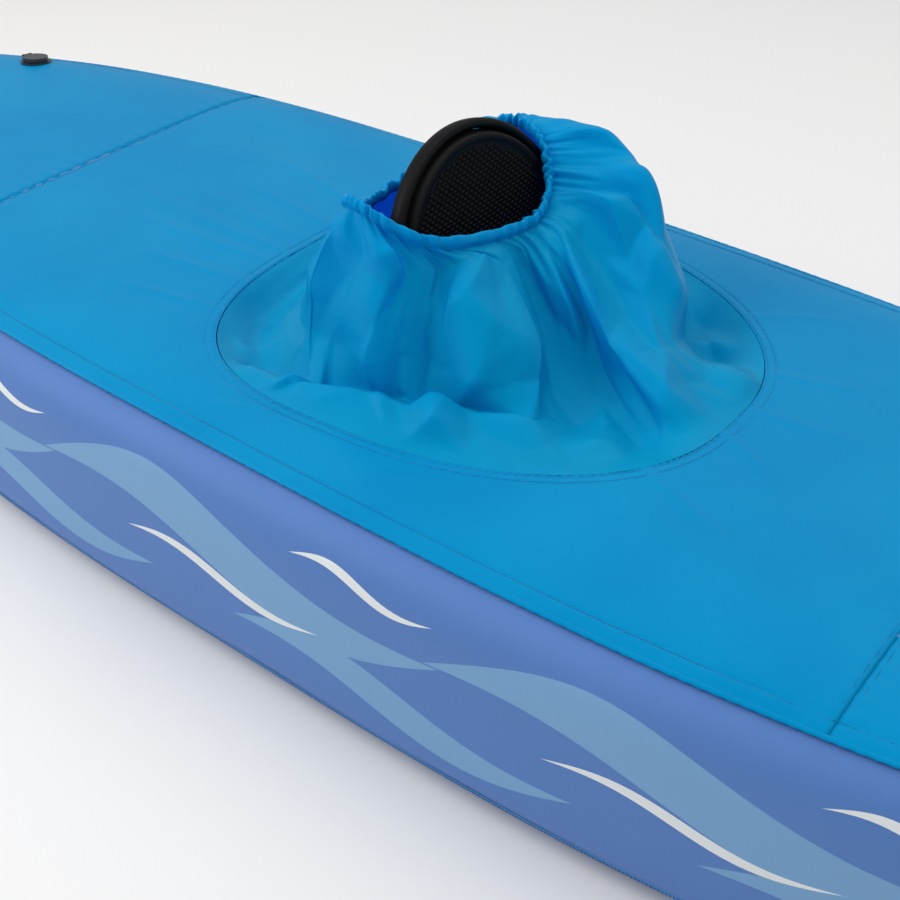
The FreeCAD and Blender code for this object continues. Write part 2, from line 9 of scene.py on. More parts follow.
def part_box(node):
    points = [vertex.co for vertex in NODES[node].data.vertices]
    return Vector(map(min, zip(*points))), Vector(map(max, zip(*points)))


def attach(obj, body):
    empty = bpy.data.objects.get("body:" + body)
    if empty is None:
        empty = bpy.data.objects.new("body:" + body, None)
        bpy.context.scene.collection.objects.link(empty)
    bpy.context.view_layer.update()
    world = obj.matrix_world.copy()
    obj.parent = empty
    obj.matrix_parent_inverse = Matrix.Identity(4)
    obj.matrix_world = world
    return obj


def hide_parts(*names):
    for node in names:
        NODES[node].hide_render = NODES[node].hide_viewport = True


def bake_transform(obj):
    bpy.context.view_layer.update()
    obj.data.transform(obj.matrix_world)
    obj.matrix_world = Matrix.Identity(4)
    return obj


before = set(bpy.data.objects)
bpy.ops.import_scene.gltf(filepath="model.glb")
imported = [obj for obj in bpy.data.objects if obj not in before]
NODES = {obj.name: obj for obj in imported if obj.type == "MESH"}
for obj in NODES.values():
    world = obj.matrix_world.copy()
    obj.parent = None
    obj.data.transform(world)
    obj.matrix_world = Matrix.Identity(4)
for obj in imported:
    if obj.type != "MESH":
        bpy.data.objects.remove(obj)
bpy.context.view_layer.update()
MM = 0.001

# --- camera and soft studio light ----------------------------------------------------------

scene = bpy.context.scene
scene.view_settings.view_transform = "Standard"


def link(thing):
    scene.collection.objects.link(thing)
    return thing


EYE = Vector((0.9687, -1.2390, 1.2710))
LOOK = Vector((-0.49316, 0.62691, -0.60315))
camera = link(bpy.data.objects.new("camera", bpy.data.cameras.new("camera")))
camera.data.lens = 56
camera.data.sensor_width = 36
camera.data.clip_start = 0.01
camera.location = EYE
camera.rotation_euler = LOOK.to_track_quat("-Z", "Y").to_euler()
scene.camera = camera


def softbox(name, place, aim, size, watts, tint):
    light = bpy.data.lights.new(name, "AREA")
    light.shape = "RECTANGLE"
    light.size, light.size_y = size
    light.energy = watts
    light.color = tint
    lamp = link(bpy.data.objects.new(name, light))
    lamp.location = place
    lamp.rotation_euler = (Vector(aim) - Vector(place)).to_track_quat("-Z", "Y").to_euler()


softbox("key_box", (-2.6, -2.4, 3.0), (0, 0, 0.2), (2.4, 2.4), 82, (1.0, 0.985, 0.96))
softbox("top_box", (0.4, 0.6, 3.6), (0, 0, 0), (5.0, 5.0), 76, (1, 1, 1))

world = bpy.data.worlds.new("studio")
scene.world = world
world.use_nodes = True
world.node_tree.nodes["Background"].inputs["Color"].default_value = (0.97, 0.98, 1.0, 1)
world.node_tree.nodes["Background"].inputs["Strength"].default_value = 0.50

# --- materials -------------------------------------------------------------------------------


def linear(hex_colour):
    """An sRGB hex colour as linear RGBA."""
    parts = [int(hex_colour[k:k + 2], 16) / 255 for k in (1, 3, 5)]
    return tuple(c / 12.92 if c <= 0.04045 else ((c + 0.055) / 1.055) ** 2.4 for c in parts) + (1.0,)


def add(tree, kind, settings=None, **inputs):
    """Adds a node with its settings; an input may be a value or another node's socket."""
    node = tree.nodes.new(kind)
    for key, value in (settings or {}).items():
        setattr(node, key, value)
    for key, value in inputs.items():
        socket = node.inputs[int(key[1:]) if key[0] == "_" else key.replace("__", " ")]
        if isinstance(value, bpy.types.NodeSocket):
            tree.links.new(value, socket)
        else:
            socket.default_value = value
    return node


def material(name):
    made = bpy.data.materials.new(name)
    made.use_nodes = True
    made.node_tree.nodes.clear()
    return made, made.node_tree


# A wave texture of scale 1 has this many bands in a metre, near enough
WAVE_BANDS = 3.18


def blotches(tree, place, low, high, scale):
    """A slow drift between two colours."""
    drift = add(tree, "ShaderNodeTexNoise", Vector=place, Scale=scale, Detail=3.0)
    ramp = add(tree, "ShaderNodeValToRGB", Fac=drift.outputs["Fac"])
    ramp.color_ramp.elements[0].position = 0.35
    ramp.color_ramp.elements[1].position = 0.68
    ramp.color_ramp.elements[0].color = linear(low)
    ramp.color_ramp.elements[1].color = linear(high)
    return ramp.outputs["Color"]


def weave_height(tree, place, pitch):
    """Height of a plain weave with that thread pitch, in metres, on Object coordinates."""
    scale = 1 / (pitch * WAVE_BANDS)
    waves = []
    for way in ("X", "Y", "Z"):
        waves.append(add(tree, "ShaderNodeTexWave", {"bands_direction": way},
                         Vector=place, Scale=scale).outputs["Fac"])
    both = add(tree, "ShaderNodeMath", {"operation": "ADD"}, _0=waves[0], _1=waves[1])
    total = add(tree, "ShaderNodeMath", {"operation": "ADD"}, _0=both.outputs[0], _1=waves[2])
    return total.outputs[0]


def bumped(tree, height, strength, distance, after=None):
    bump = add(tree, "ShaderNodeBump", Height=height, Strength=strength, Distance=distance)
    if after is not None:
        tree.links.new(after, bump.inputs["Normal"])
    return bump.outputs["Normal"]


def satin_nylon(name, low, high, glow, crumple, thinness):
    """Coated nylon taffeta: smooth, lightly waxy, thin enough that light glows through it."""
    made, tree = material(name)
    place = add(tree, "ShaderNodeTexCoord").outputs["Object"]
    colour = blotches(tree, place, low, high, 5.0)
    # thread pitch 0.9 mm, drawn twice its real coarseness so that it shows
    normal = bumped(tree, weave_height(tree, place, 0.0009), 0.12, 0.00012)
    soft = add(tree, "ShaderNodeTexNoise", Vector=place, Scale=38.0, Detail=4.0, Roughness=0.55)
    normal = bumped(tree, soft.outputs["Fac"], crumple, 0.004, normal)
    shader = add(tree, "ShaderNodeBsdfPrincipled", Base__Color=colour, Roughness=0.4, IOR=1.45,
                 Normal=normal)
    shader.inputs["Specular Tint"].default_value = linear("#1272d8")
    through = add(tree, "ShaderNodeBsdfTranslucent", Color=linear(glow))
    mix = add(tree, "ShaderNodeMixShader", _0=thinness, _1=shader.outputs[0], _2=through.outputs[0])
    add(tree, "ShaderNodeOutputMaterial", Surface=mix.outputs[0])
    return made


def plain(name, low, high, roughness, ior=1.5, scale=9.0, grain=0.0, grain_size=400.0,
          sheen=0.0, weave=0.0, shine=0.5):
    """A finish with a slow colour drift, a grain or a weave, and its own gloss."""
    made, tree = material(name)
    place = add(tree, "ShaderNodeTexCoord").outputs["Object"]
    colour = blotches(tree, place, low, high, scale)
    normal = None
    if weave:
        normal = bumped(tree, weave_height(tree, place, weave), 0.35, weave * 0.25)
    if grain:
        fine = add(tree, "ShaderNodeTexNoise", Vector=place, Scale=grain_size, Detail=2.0)
        normal = bumped(tree, fine.outputs["Fac"], grain, 0.0004, normal)
    shader = add(tree, "ShaderNodeBsdfPrincipled", Base__Color=colour, Roughness=roughness, IOR=ior)
    if normal is not None:
        tree.links.new(normal, shader.inputs["Normal"])
    shader.inputs["Sheen Weight"].default_value = sheen
    shader.inputs["Specular IOR Level"].default_value = shine
    add(tree, "ShaderNodeOutputMaterial", Surface=shader.outputs[0])
    return made


# taffeta pulled taut over the tubes: clean blue with a satin light on its turns
DECK_NYLON = satin_nylon("satin_nylon_deck", "#0299d4", "#06a2da", "#0b76d4", 0.10, 0.24)
# the same cloth hanging loose: a finer crumple, deeper blue where light comes through, and painted light: a
# lighter base than the deck's, to make up for the light its folds miss
SKIRT_NYLON_PAINTED_LIGHT = satin_nylon("satin_nylon_skirt_painted_light", "#04a6dc", "#08aee2", "#0a5cff", 0.10, 0.30)
# bonded polyester thread: a little darker than the cloth, slightly shiny
THREAD = plain("polyester_thread", "#0b6fae", "#0d79b8", 0.5, grain=0.1)
# deep blue thread and binding along the lower seam
LOWER_THREAD = plain("polyester_thread_navy", "#1c3f86", "#23489a", 0.5, grain=0.1)
# calendered PVC on polyester: matt with a leathery grain
BOTTOM_PVC = plain("pvc_tarpaulin", "#4069b0", "#4871b8", 0.5, grain=0.3, grain_size=260, weave=0.0016)
# welded PVC film over the seams, smoother than the cloth beside it
SEAM_TAPE = plain("pvc_seam_film", "#2c76b4", "#3380bd", 0.38, grain=0.1)
# calendered PVC film, faintly glossy: the air chambers
CHAMBER_PVC = plain("pvc_film", "#7c8b99", "#8795a2", 0.34, grain=0.06, grain_size=60)
# polyester webbing: ribbed across, soft sheen
WEBBING = plain("polyester_webbing", "#15181c", "#1e2227", 0.72, weave=0.0016, sheen=0.25)
# moulded closed-cell EVA foam: black, very fine grain, dull highlight on its curves
EVA_FOAM = plain("eva_foam", "#030405", "#060708", 0.5, shine=0.13, grain=0.22, grain_size=900)
# extruded polyethylene sheet: waxy and dull
BOARD_PE = plain("polyethylene_board", "#1b1d20", "#24272b", 0.45, grain=0.08)
# covered rubber elastic
ELASTIC = plain("covered_elastic", "#e3e6e8", "#eef0f2", 0.8, weave=0.0012, sheen=0.2)
# moulded nylon: satin grey valve parts
VALVE_PLASTIC = plain("moulded_nylon", "#2b2f34", "#33383e", 0.36, ior=1.53, grain=0.08)
# acetal: harder and shinier than nylon
BUCKLE_PLASTIC = plain("acetal", "#101214", "#181b1e", 0.28, ior=1.48, grain=0.05)
# polyester oxford cloth on the seat: matt, clearly woven
SEAT_FABRIC = plain("polyester_oxford", "#15181d", "#1e2228", 0.8, weave=0.0014, sheen=0.3)
# moulded soft PVC: satin, a little grain
STEM_PVC = plain("moulded_pvc", "#2e6fae", "#3678b6", 0.4, grain=0.12, grain_size=500)
PALE_FLOOR = plain("painted_floor", "#f1f0ef", "#f3f2f0", 0.75, scale=0.5)


def printed_cloth():
    """Polyester oxford with a dyed print: matt, fine diagonal twill, three flat inks."""
    made, tree = material("printed_polyester")
    place = add(tree, "ShaderNodeTexCoord").outputs["Object"]
    ink = add(tree, "ShaderNodeAttribute", {"attribute_name": "ink"})
    ramp = add(tree, "ShaderNodeValToRGB", Fac=ink.outputs["Fac"])
    ramp.color_ramp.interpolation = "CONSTANT"
    stops = ramp.color_ramp.elements
    stops[0].color = linear("#4a78bd")
    stops[1].position = 0.25
    stops[1].color = linear("#71a1cd")
    stops.new(0.5).color = linear("#e3e8ea")
    # twill lines 1.3 mm apart, drawn twice their real coarseness so that they show
    turned = add(tree, "ShaderNodeMapping", Vector=place, Rotation=(0.0, math.radians(38), 0.0))
    twill = add(tree, "ShaderNodeTexWave", {"bands_direction": "Z"}, Vector=turned.outputs[0],
                Scale=1 / (0.0013 * WAVE_BANDS))
    dust = add(tree, "ShaderNodeTexNoise", Vector=place, Scale=7.0, Detail=4.0)
    shade = add(tree, "ShaderNodeMapRange", _0=twill.outputs["Fac"], _3=0.955, _4=1.02)
    drift = add(tree, "ShaderNodeMapRange", _0=dust.outputs["Fac"], _3=0.96, _4=1.03)
    both = add(tree, "ShaderNodeMath", {"operation": "MULTIPLY"}, _0=shade.outputs[0],
               _1=drift.outputs[0])
    colour = add(tree, "ShaderNodeVectorMath", {"operation": "SCALE"}, _0=ramp.outputs["Color"],
                 Scale=both.outputs[0])
    normal = bumped(tree, twill.outputs["Fac"], 0.25, 0.0002)
    shader = add(tree, "ShaderNodeBsdfPrincipled", Base__Color=colour.outputs[0], Roughness=0.62,
                 IOR=1.5, Normal=normal)
    shader.inputs["Sheen Weight"].default_value = 0.08
    add(tree, "ShaderNodeOutputMaterial", Surface=shader.outputs[0])
    return made


PRINTED = printed_cloth()

# --- hull surface ----------------------------------------------------------------------------

HALF_LENGTH = 1.6
HALF_BEAM = 0.44
KEEL_RISE, KEEL_DIP = 0.1, 0.0003
DECK_TOP, SHEER_DROP = 0.315, 0.05
# heights amidships in mm: the hull's widest line and the side's top
WIDEST_LEVEL, TOP_LEVEL = 150, 315
TOP_POWER, KEEL_POWER = 6.0, 9.0
COCKPIT_MIDDLE, COCKPIT_REACH, COCKPIT_HALF = 0.0765, 0.3378, 0.2916
COCKPIT_SQUARENESS, COCKPIT_NARROWING = 2.548, 0.194
COCKPIT_STITCHES = (0.003, 0.013)
END_X = 1.585
DECK_OUT = 0.003
DECK_SEAM_X = 0.71
SEAM_ANGLE = -38.6
DECK_EDGE = 45.0
HEM_STITCH = 47.9


def station(x):
    along = np.minimum(np.abs(x) / HALF_LENGTH, 1)
    half = HALF_BEAM * (1 - along**3)
    keel = KEEL_RISE * along**4 - KEEL_DIP
    top = DECK_TOP - SHEER_DROP * along**6
    return half, keel, keel + (top - keel) * WIDEST_LEVEL / TOP_LEVEL, top


def hull(x, angle, out=0.0):
    """Points round the hull's section: -90 keel, 0 widest port, 90 deck centre, 180 starboard."""
    x, angle, out = np.broadcast_arrays(np.asarray(x, float), angle, out)
    half, keel, widest, top = station(x)
    across, up = np.cos(np.radians(angle)), np.sin(np.radians(angle))
    power = np.where(up >= 0, TOP_POWER, KEEL_POWER)
    reach = (np.abs(across) ** power + np.abs(up) ** power) ** (-1 / power)
    rise = np.where(up >= 0, top - widest, widest - keel)
    return np.stack([x, (half + out) * reach * across, widest + (rise + out) * reach * up], -1)


def deck_angle(x, y, out=DECK_OUT):
    """The section angle over a point of the deck in plan."""
    share = np.clip(y / (station(x)[0] + out), -0.999, 0.999)
    return np.degrees(np.arctan2((1 - np.abs(share) ** 6) ** (1 / 6), share))


def on_deck(x, y, out=DECK_OUT):
    return hull(x, deck_angle(x, y, out), out)


def cockpit_edge(angle, grow=0.0):
    """The cockpit's egg-shaped edge in plan."""
    c, s = np.cos(np.radians(angle)), np.sin(np.radians(angle))
    forward = np.sign(c) * np.abs(c) ** (2 / COCKPIT_SQUARENESS)
    aside = np.sign(s) * np.abs(s) ** (2 / COCKPIT_SQUARENESS)
    return (COCKPIT_MIDDLE + (COCKPIT_REACH + grow) * forward,
            (COCKPIT_HALF + grow) * aside * (1 - COCKPIT_NARROWING * c))


# --- mesh helpers ----------------------------------------------------------------------------


def solid_mesh(name, vertices, faces, finish, smooth=True):
    mesh = bpy.data.meshes.new(name)
    mesh.from_pydata([tuple(v) for v in vertices], [], faces)
    mesh.update()
    mesh.materials.append(finish)
    mesh.shade_smooth() if smooth else mesh.shade_flat()
    return link(bpy.data.objects.new(name, mesh))


def grid_faces(rows, columns, ring=False):
    """Quads of a grid of points; a ring joins its last column to its first."""
    faces = []
    for i in range(rows - 1):
        for j in range(columns if ring else columns - 1):
            k = (j + 1) % columns
            faces.append((i * columns + j, i * columns + k, (i + 1) * columns + k, (i + 1) * columns + j))
    return faces


def cloth(name, points, finish, thickness=0.0, ring=False, flip=False):
    """A surface through a grid of points, thickened away from its outer face."""
    rows, columns = points.shape[:2]
    faces = grid_faces(rows, columns, ring)
    if flip:
        faces = [f[::-1] for f in faces]
    piece = solid_mesh(name, points.reshape(-1, 3), faces, finish)
    if thickness:
        wall = piece.modifiers.new("wall", "SOLIDIFY")
        wall.thickness = thickness
        wall.offset = -1
        applied(piece)
    return piece


def applied(piece):
    """Turns a piece with modifiers into its plain final mesh."""
    graph = bpy.context.evaluated_depsgraph_get()
    final = bpy.data.meshes.new_from_object(piece.evaluated_get(graph))
    piece.modifiers.clear()
    piece.data = final
    return piece


def fix_normals(piece):
    tool = bmesh.new()
    tool.from_mesh(piece.data)
    bmesh.ops.remove_doubles(tool, verts=tool.verts, dist=1e-6)
    bmesh.ops.recalc_face_normals(tool, faces=tool.faces)
    tool.to_mesh(piece.data)
    tool.free()
    return piece


def normals_of(points, ring=False):
    """Unit normals of a grid of points."""
    along = np.gradient(points, axis=0)
    if ring:
        over = np.roll(points, -1, 1) - np.roll(points, 1, 1)
    else:
        over = np.gradient(points, axis=1)
    found = np.cross(along, over)
    return found / np.maximum(np.linalg.norm(found, axis=-1, keepdims=True), 1e-12)


def drift(points, scale, seed):
    """Slow noise at each point, about -1 to 1."""
    shift = Vector((seed * 3.1, seed * 1.7, seed * 5.3))
    flat = [noise.noise(Vector(p) * scale + shift) for p in points.reshape(-1, 3)]
    return np.array(flat).reshape(points.shape[:-1])


def smooth_step(value, low, high):
    t = np.clip((value - low) / (high - low), 0, 1)
    return t * t * (3 - 2 * t)


def crease(points, start, end, width, height):
    """A soft ridge between two points in plan, in metres, fading out at both ends."""
    a, b = np.array(start), np.array(end)
    run = b - a
    along = ((points[..., :2] - a) @ run) / (run @ run)
    away = np.linalg.norm(points[..., :2] - a - along[..., None] * run, axis=-1)
    fade = np.clip(along * (1 - along) * 4, 0, 1) ** 0.7
    return height * fade * np.exp(-((away / width) ** 2))


# --- stitches and studs by geometry nodes ------------------------------------------------------


def scatter_tree(name):
    """A tree that sets one small shape on every point, turned by its along and up vectors."""
    tree = bpy.data.node_groups.new(name, "GeometryNodeTree")
    for label, kind in (("Geometry", "NodeSocketGeometry"), ("Shape", "NodeSocketObject"),
                        ("Size", "NodeSocketVector"), ("Finish", "NodeSocketMaterial")):
        tree.interface.new_socket(label, in_out="INPUT", socket_type=kind)
    tree.interface.new_socket("Geometry", in_out="OUTPUT", socket_type="NodeSocketGeometry")
    given = tree.nodes.new("NodeGroupInput")
    along = add(tree, "GeometryNodeInputNamedAttribute", {"data_type": "FLOAT_VECTOR"}, Name="along")
    up = add(tree, "GeometryNodeInputNamedAttribute", {"data_type": "FLOAT_VECTOR"}, Name="up")
    first = add(tree, "FunctionNodeAlignRotationToVector", {"axis": "X"}, Vector=along.outputs[0])
    turn = add(tree, "FunctionNodeAlignRotationToVector", {"axis": "Z", "pivot_axis": "X"},
               Vector=up.outputs[0], Rotation=first.outputs[0])
    shape = add(tree, "GeometryNodeObjectInfo", Object=given.outputs["Shape"])
    put = add(tree, "GeometryNodeInstanceOnPoints", Points=given.outputs["Geometry"],
              Instance=shape.outputs["Geometry"], Rotation=turn.outputs[0], Scale=given.outputs["Size"])
    real = add(tree, "GeometryNodeRealizeInstances", Geometry=put.outputs[0])
    done = add(tree, "GeometryNodeSetMaterial", Geometry=real.outputs[0],
               Material=given.outputs["Finish"])
    out = tree.nodes.new("NodeGroupOutput")
    tree.links.new(done.outputs[0], out.inputs[0])
    return tree


SCATTER = scatter_tree("set_on_points")


def small_shape(name, rings, sides):
    """A low dome or spindle turned about X or Z, as a hidden source for scattering."""
    vertices = []
    for r, z in rings:
        for k in range(sides):
            turn = 2 * math.pi * k / sides
            vertices.append((r * math.cos(turn), r * math.sin(turn), z))
    faces = grid_faces(len(rings), sides, True)
    faces.append(tuple(range(sides))[::-1])
    last = (len(rings) - 1) * sides
    faces.append(tuple(range(last, last + sides)))
    mesh = bpy.data.meshes.new(name)
    mesh.from_pydata(vertices, [], faces)
    mesh.shade_smooth()
    return bpy.data.objects.new(name, mesh)


DOME = small_shape("dome", [(1.0, -0.3), (0.96, 0.25), (0.72, 0.7), (0.34, 0.95)], 8)
THREAD_BIT = small_shape("thread_bit", [(0.55, -0.4), (1.0, 0.1), (0.6, 0.75)], 6)


def scatter(name, shape, size, points, along, up, finish):
    mesh = bpy.data.meshes.new(name)
    mesh.from_pydata([tuple(p) for p in points], [], [])
    for label, values in (("along", along), ("up", up)):
        attribute = mesh.attributes.new(label, "FLOAT_VECTOR", "POINT")
        attribute.data.foreach_set("vector", np.asarray(values, np.float32).ravel())
    piece = link(bpy.data.objects.new(name, mesh))
    modifier = piece.modifiers.new("set", "NODES")
    modifier.node_group = SCATTER
    values = {"Shape": shape, "Size": size, "Finish": finish}
    for item in SCATTER.interface.items_tree:
        if item.in_out == "INPUT" and item.name in values:
            modifier[item.identifier] = values[item.name]
    return applied(piece)


def even_points(line, pitch):
    """Points at an even pitch along a polyline, with their directions."""
    steps = np.linalg.norm(np.diff(line, axis=0), axis=1)
    length = np.concatenate([[0], np.cumsum(steps)])
    at = np.arange(pitch / 2, length[-1], pitch)
    points = np.stack([np.interp(at, length, line[:, k]) for k in range(3)], -1)
    ways = np.gradient(points, axis=0)
    return points, ways / np.linalg.norm(ways, axis=1, keepdims=True)


STITCH_PITCH = 0.0045
STITCH = (0.0019, 0.00045, 0.0005)


def stitches(name, lines, ups, finish):
    """Running stitches along lines on a surface, lying a little proud of it."""
    found = [even_points(line, STITCH_PITCH) for line in lines]
    points = np.concatenate([p for p, _ in found])
    along = np.concatenate([w for _, w in found])
    up = np.array([ups(p) for p in points])
    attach(scatter(name, THREAD_BIT, STITCH, points, along, up, finish), "hull")


def straight_up(_):
    return (0, 0, 1)


def outwards(point):
    return (0, math.copysign(0.8, point[1]), 0.6)

# --- deck ------------------------------------------------------------------------------------

# Soft ridges pulled in the cloth: start, end, width and height
DECK_CREASES = [
    ((-0.70, 0.335), (-0.34, 0.365), 0.030, 0.0035),
    ((-0.66, 0.230), (-0.30, 0.240), 0.050, -0.0030),
    ((-0.58, -0.030), (-0.24, -0.030), 0.010, 0.0022),
    ((-0.52, -0.085), (-0.25, -0.060), 0.008, 0.0020),
    ((-0.55, 0.030), (-0.27, 0.010), 0.008, 0.0020),
    ((-0.46, 0.090), (-0.24, 0.060), 0.007, 0.0018),
    ((-0.44, -0.150), (-0.25, -0.120), 0.007, 0.0018),
    ((-0.40, -0.230), (-0.22, -0.190), 0.007, 0.0016),
    ((-0.50, 0.180), (-0.24, 0.130), 0.009, 0.0018),
    ((0.02, -0.322), (0.07, -0.312), 0.004, 0.0012),
    ((-0.10, -0.345), (-0.05, -0.325), 0.005, 0.0012),
    ((0.14, -0.330), (0.20, -0.305), 0.005, 0.0012),
    ((0.40, -0.020), (0.50, -0.070), 0.007, 0.0016),
    ((0.41, 0.030), (0.56, 0.050), 0.008, 0.0016),
    ((0.38, 0.110), (0.52, 0.150), 0.007, 0.0014),
    ((0.36, -0.130), (0.52, -0.200), 0.009, 0.0016),
    ((0.30, 0.210), (0.42, 0.290), 0.008, 0.0014),
    ((0.60, -0.300), (0.70, -0.080), 0.020, 0.0016),
    ((0.60, 0.300), (0.70, 0.080), 0.020, 0.0016),
    ((-0.60, -0.330), (-0.40, -0.350), 0.012, 0.0016),
]


def cockpit_distance(points):
    """About how far a point is outside the cockpit's edge, in plan."""
    turns = np.arange(0, 360, 2.0)
    x, y = cockpit_edge(turns)
    edge = np.stack([x, y], -1)
    flat = points[..., :2].reshape(-1, 1, 2)
    return np.linalg.norm(flat - edge, axis=-1).min(1).reshape(points.shape[:-1])


def deck_height(points, angle):
    """How far the deck's cloth stands off its smooth form."""
    rise = 0.0011 * drift(points, 4.5, 1) + 0.0005 * drift(points * np.array((1, 1, 2)), 16, 2)
    for a, b, width, height in DECK_CREASES:
        rise = rise + crease(points, a, b, width, height)
    for seam in (-DECK_SEAM_X, DECK_SEAM_X):
        away = points[..., 0] - seam
        rise = rise - 0.0016 * np.exp(-(away / 0.006) ** 2)
        pucker = np.sin(points[..., 1] * 240 + 3 * drift(points, 9, 3))
        rise = rise + 0.0006 * pucker * np.exp(-(away / 0.022) ** 2)
    from_edge = np.minimum(np.abs(angle - DECK_EDGE), np.abs(180 - DECK_EDGE - angle))
    hem = 1 - smooth_step(from_edge, HEM_STITCH - DECK_EDGE - 0.25, HEM_STITCH - DECK_EDGE + 0.1)
    rise = rise + 0.0009 * hem
    stitched = np.exp(-((from_edge - (HEM_STITCH - DECK_EDGE)) / 0.22) ** 2)
    rise = rise - 0.0009 * stitched
    cross = np.sin(points[..., 0] * 520 + 6 * drift(points, 12, 4))
    rise = rise + 0.00035 * cross * np.exp(-((from_edge - (HEM_STITCH - DECK_EDGE)) / 1.6) ** 2)
    return rise


def draped_deck(x, angle):
    smooth = hull(x, angle, DECK_OUT)
    normal = hull(x, angle, DECK_OUT + 0.01) - smooth
    normal = normal / np.linalg.norm(normal, axis=-1, keepdims=True)
    return smooth, normal, deck_height(smooth, angle)


def deck_end(name, node, start, end):
    columns = 190
    x, angle = np.meshgrid(np.linspace(start, end, 160),
                           np.linspace(DECK_EDGE, 180 - DECK_EDGE, columns), indexing="ij")
    smooth, normal, rise = draped_deck(x, angle)
    piece = cloth(name, smooth + normal * rise[..., None], DECK_NYLON, 0.0012)
    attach(piece, "hull")
    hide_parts(node)
    return piece


def deck_middle():
    """Rings from the cockpit's edge out to the panel's straight seams and hems."""
    around, out_steps = 520, 90
    turns = np.linspace(0, 360, around, endpoint=False)
    edge_x, edge_y = cockpit_edge(turns)
    edge_angle = deck_angle(edge_x, edge_y)
    # each ray from the middle ends on the panel's border in (x, angle)
    limit_x, limit_angle = DECK_SEAM_X - 0.0002, 90 - DECK_EDGE
    way_x = edge_x - COCKPIT_MIDDLE
    way_a = edge_angle - 90
    reach_x = np.where(way_x > 0, (limit_x - COCKPIT_MIDDLE) / np.maximum(way_x, 1e-9),
                       (limit_x + COCKPIT_MIDDLE) / np.maximum(-way_x, 1e-9))
    reach_a = limit_angle / np.maximum(np.abs(way_a), 1e-9)
    reach = np.minimum(reach_x, reach_a)
    share = np.linspace(0, 1, out_steps)[:, None] ** 1.15
    x = edge_x + share * way_x * (reach - 1)
    angle = edge_angle + share * way_a * (reach - 1)
    # pull the four border corners square
    for i, j in ((1, 1), (1, -1), (-1, 1), (-1, -1)):
        corner_x, corner_a = i * limit_x, 90 + j * limit_angle
        k = np.argmin((x[-1] - corner_x) ** 2 * 4000 + (angle[-1] - corner_a) ** 2)
        x[-1, k], angle[-1, k] = corner_x, corner_a
    smooth, normal, rise = draped_deck(x, angle)
    # two sewn lines round the cockpit, with small puckers between them
    away = cockpit_distance(smooth)
    for line in COCKPIT_STITCHES:
        rise = rise - 0.0009 * np.exp(-((away - line) / 0.0016) ** 2)
    pucker = np.sin(np.radians(turns)[None, :] * 160 + 5 * drift(smooth, 14, 5))
    rise = rise + 0.00045 * pucker * np.exp(-((away - 0.008) / 0.012) ** 2)
    points = smooth + normal * rise[..., None]
    piece = cloth("deck_cloth_mid", points, DECK_NYLON, 0.0012, ring=True, flip=True)
    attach(piece, "hull")
    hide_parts("deck_panel_mid")
    return piece


def hems():
    """The deck's folded edge: up the inside, round the fold and a short lip over the outside."""
    x = np.linspace(-1.584, 1.584, 640)
    profile = [(48.4, 0.0016), (47.4, 0.0016), (46.4, 0.0016), (45.2, 0.0015), (44.92, 0.0019),
               (44.86, 0.0026), (44.92, 0.0038), (45.1, 0.0046), (45.45, 0.0049), (45.7, 0.0046),
               (45.8, 0.0040)]
    for word, side in (("port", 1), ("starboard", -1)):
        rows = []
        for angle, out in profile:
            row = hull(x, np.full_like(x, angle if side > 0 else 180 - angle), out)
            ripple = 0.0004 * np.sin(x * 410 + 4 * drift(row, 10, 6)) + 0.0006 * drift(row, 9, 7)
            row[:, 1] += side * ripple
            rows.append(row)
        piece = cloth(f"hem_{word}", np.array(rows), DECK_NYLON, flip=side > 0)
        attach(piece, "hull")
        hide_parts(f"deck_hem_{word}")


deck_middle()
deck_end("deck_cloth_fore", "deck_panel_fore", DECK_SEAM_X + 0.0002, END_X)
deck_end("deck_cloth_aft", "deck_panel_aft", -END_X, -DECK_SEAM_X - 0.0002)
hems()


def deck_stitching():
    lines = []
    turns = np.linspace(0, 360, 721)
    for grow in COCKPIT_STITCHES:
        x, y = cockpit_edge(turns, grow)
        lines.append(on_deck(x, y, DECK_OUT - 0.0002))
    across = np.linspace(DECK_EDGE + 3.5, 180 - DECK_EDGE - 3.5, 200)
    for seam in (-DECK_SEAM_X, DECK_SEAM_X):
        for away in (-0.006, 0.006):
            lines.append(hull(np.full_like(across, seam + away), across, DECK_OUT - 0.0004))
    stitches("stitches_deck", lines, straight_up, THREAD)
    x = np.linspace(-1.575, 1.575, 640)
    lines = [hull(x, np.full_like(x, a), DECK_OUT + 0.0001) for a in (HEM_STITCH, 180 - HEM_STITCH)]
    stitches("stitches_hem", lines, outwards, THREAD)


deck_stitching()

# --- printed sides and bottom ------------------------------------------------------------------

DARK, LIGHT, WHITE = 0.1, 0.35, 0.7

# Tapering waves in a row: ink, start, length, level, rise and half width, in mm
SWELLS = [
    (LIGHT, 0, 640, 200, 34, 42),
    (LIGHT, 330, 480, 105, 20, 26),
    (WHITE, 150, 320, 150, 14, 8),
    (WHITE, 430, 200, 252, 10, 6),
]
FIRST_SWELL, SWELL_PITCH, SWELL_COUNT = -1560, 620, 5
SWELL_STEP = 8


def tapering_wave(start, length, level, rise, half):
    """One wave as a closed outline that comes to a point at both ends."""
    share = np.linspace(0, 1, length // SWELL_STEP)
    x = start + length * share
    middle = level + rise * np.sin(2 * math.pi * share)
    width = half * np.sin(math.pi * share)
    over = np.stack([x, middle + width], -1)
    under = np.stack([x, middle - width], -1)
    return np.concatenate([over, under[-2:0:-1]])


PANEL_LOW, PANEL_HIGH = 32.0, 311.0


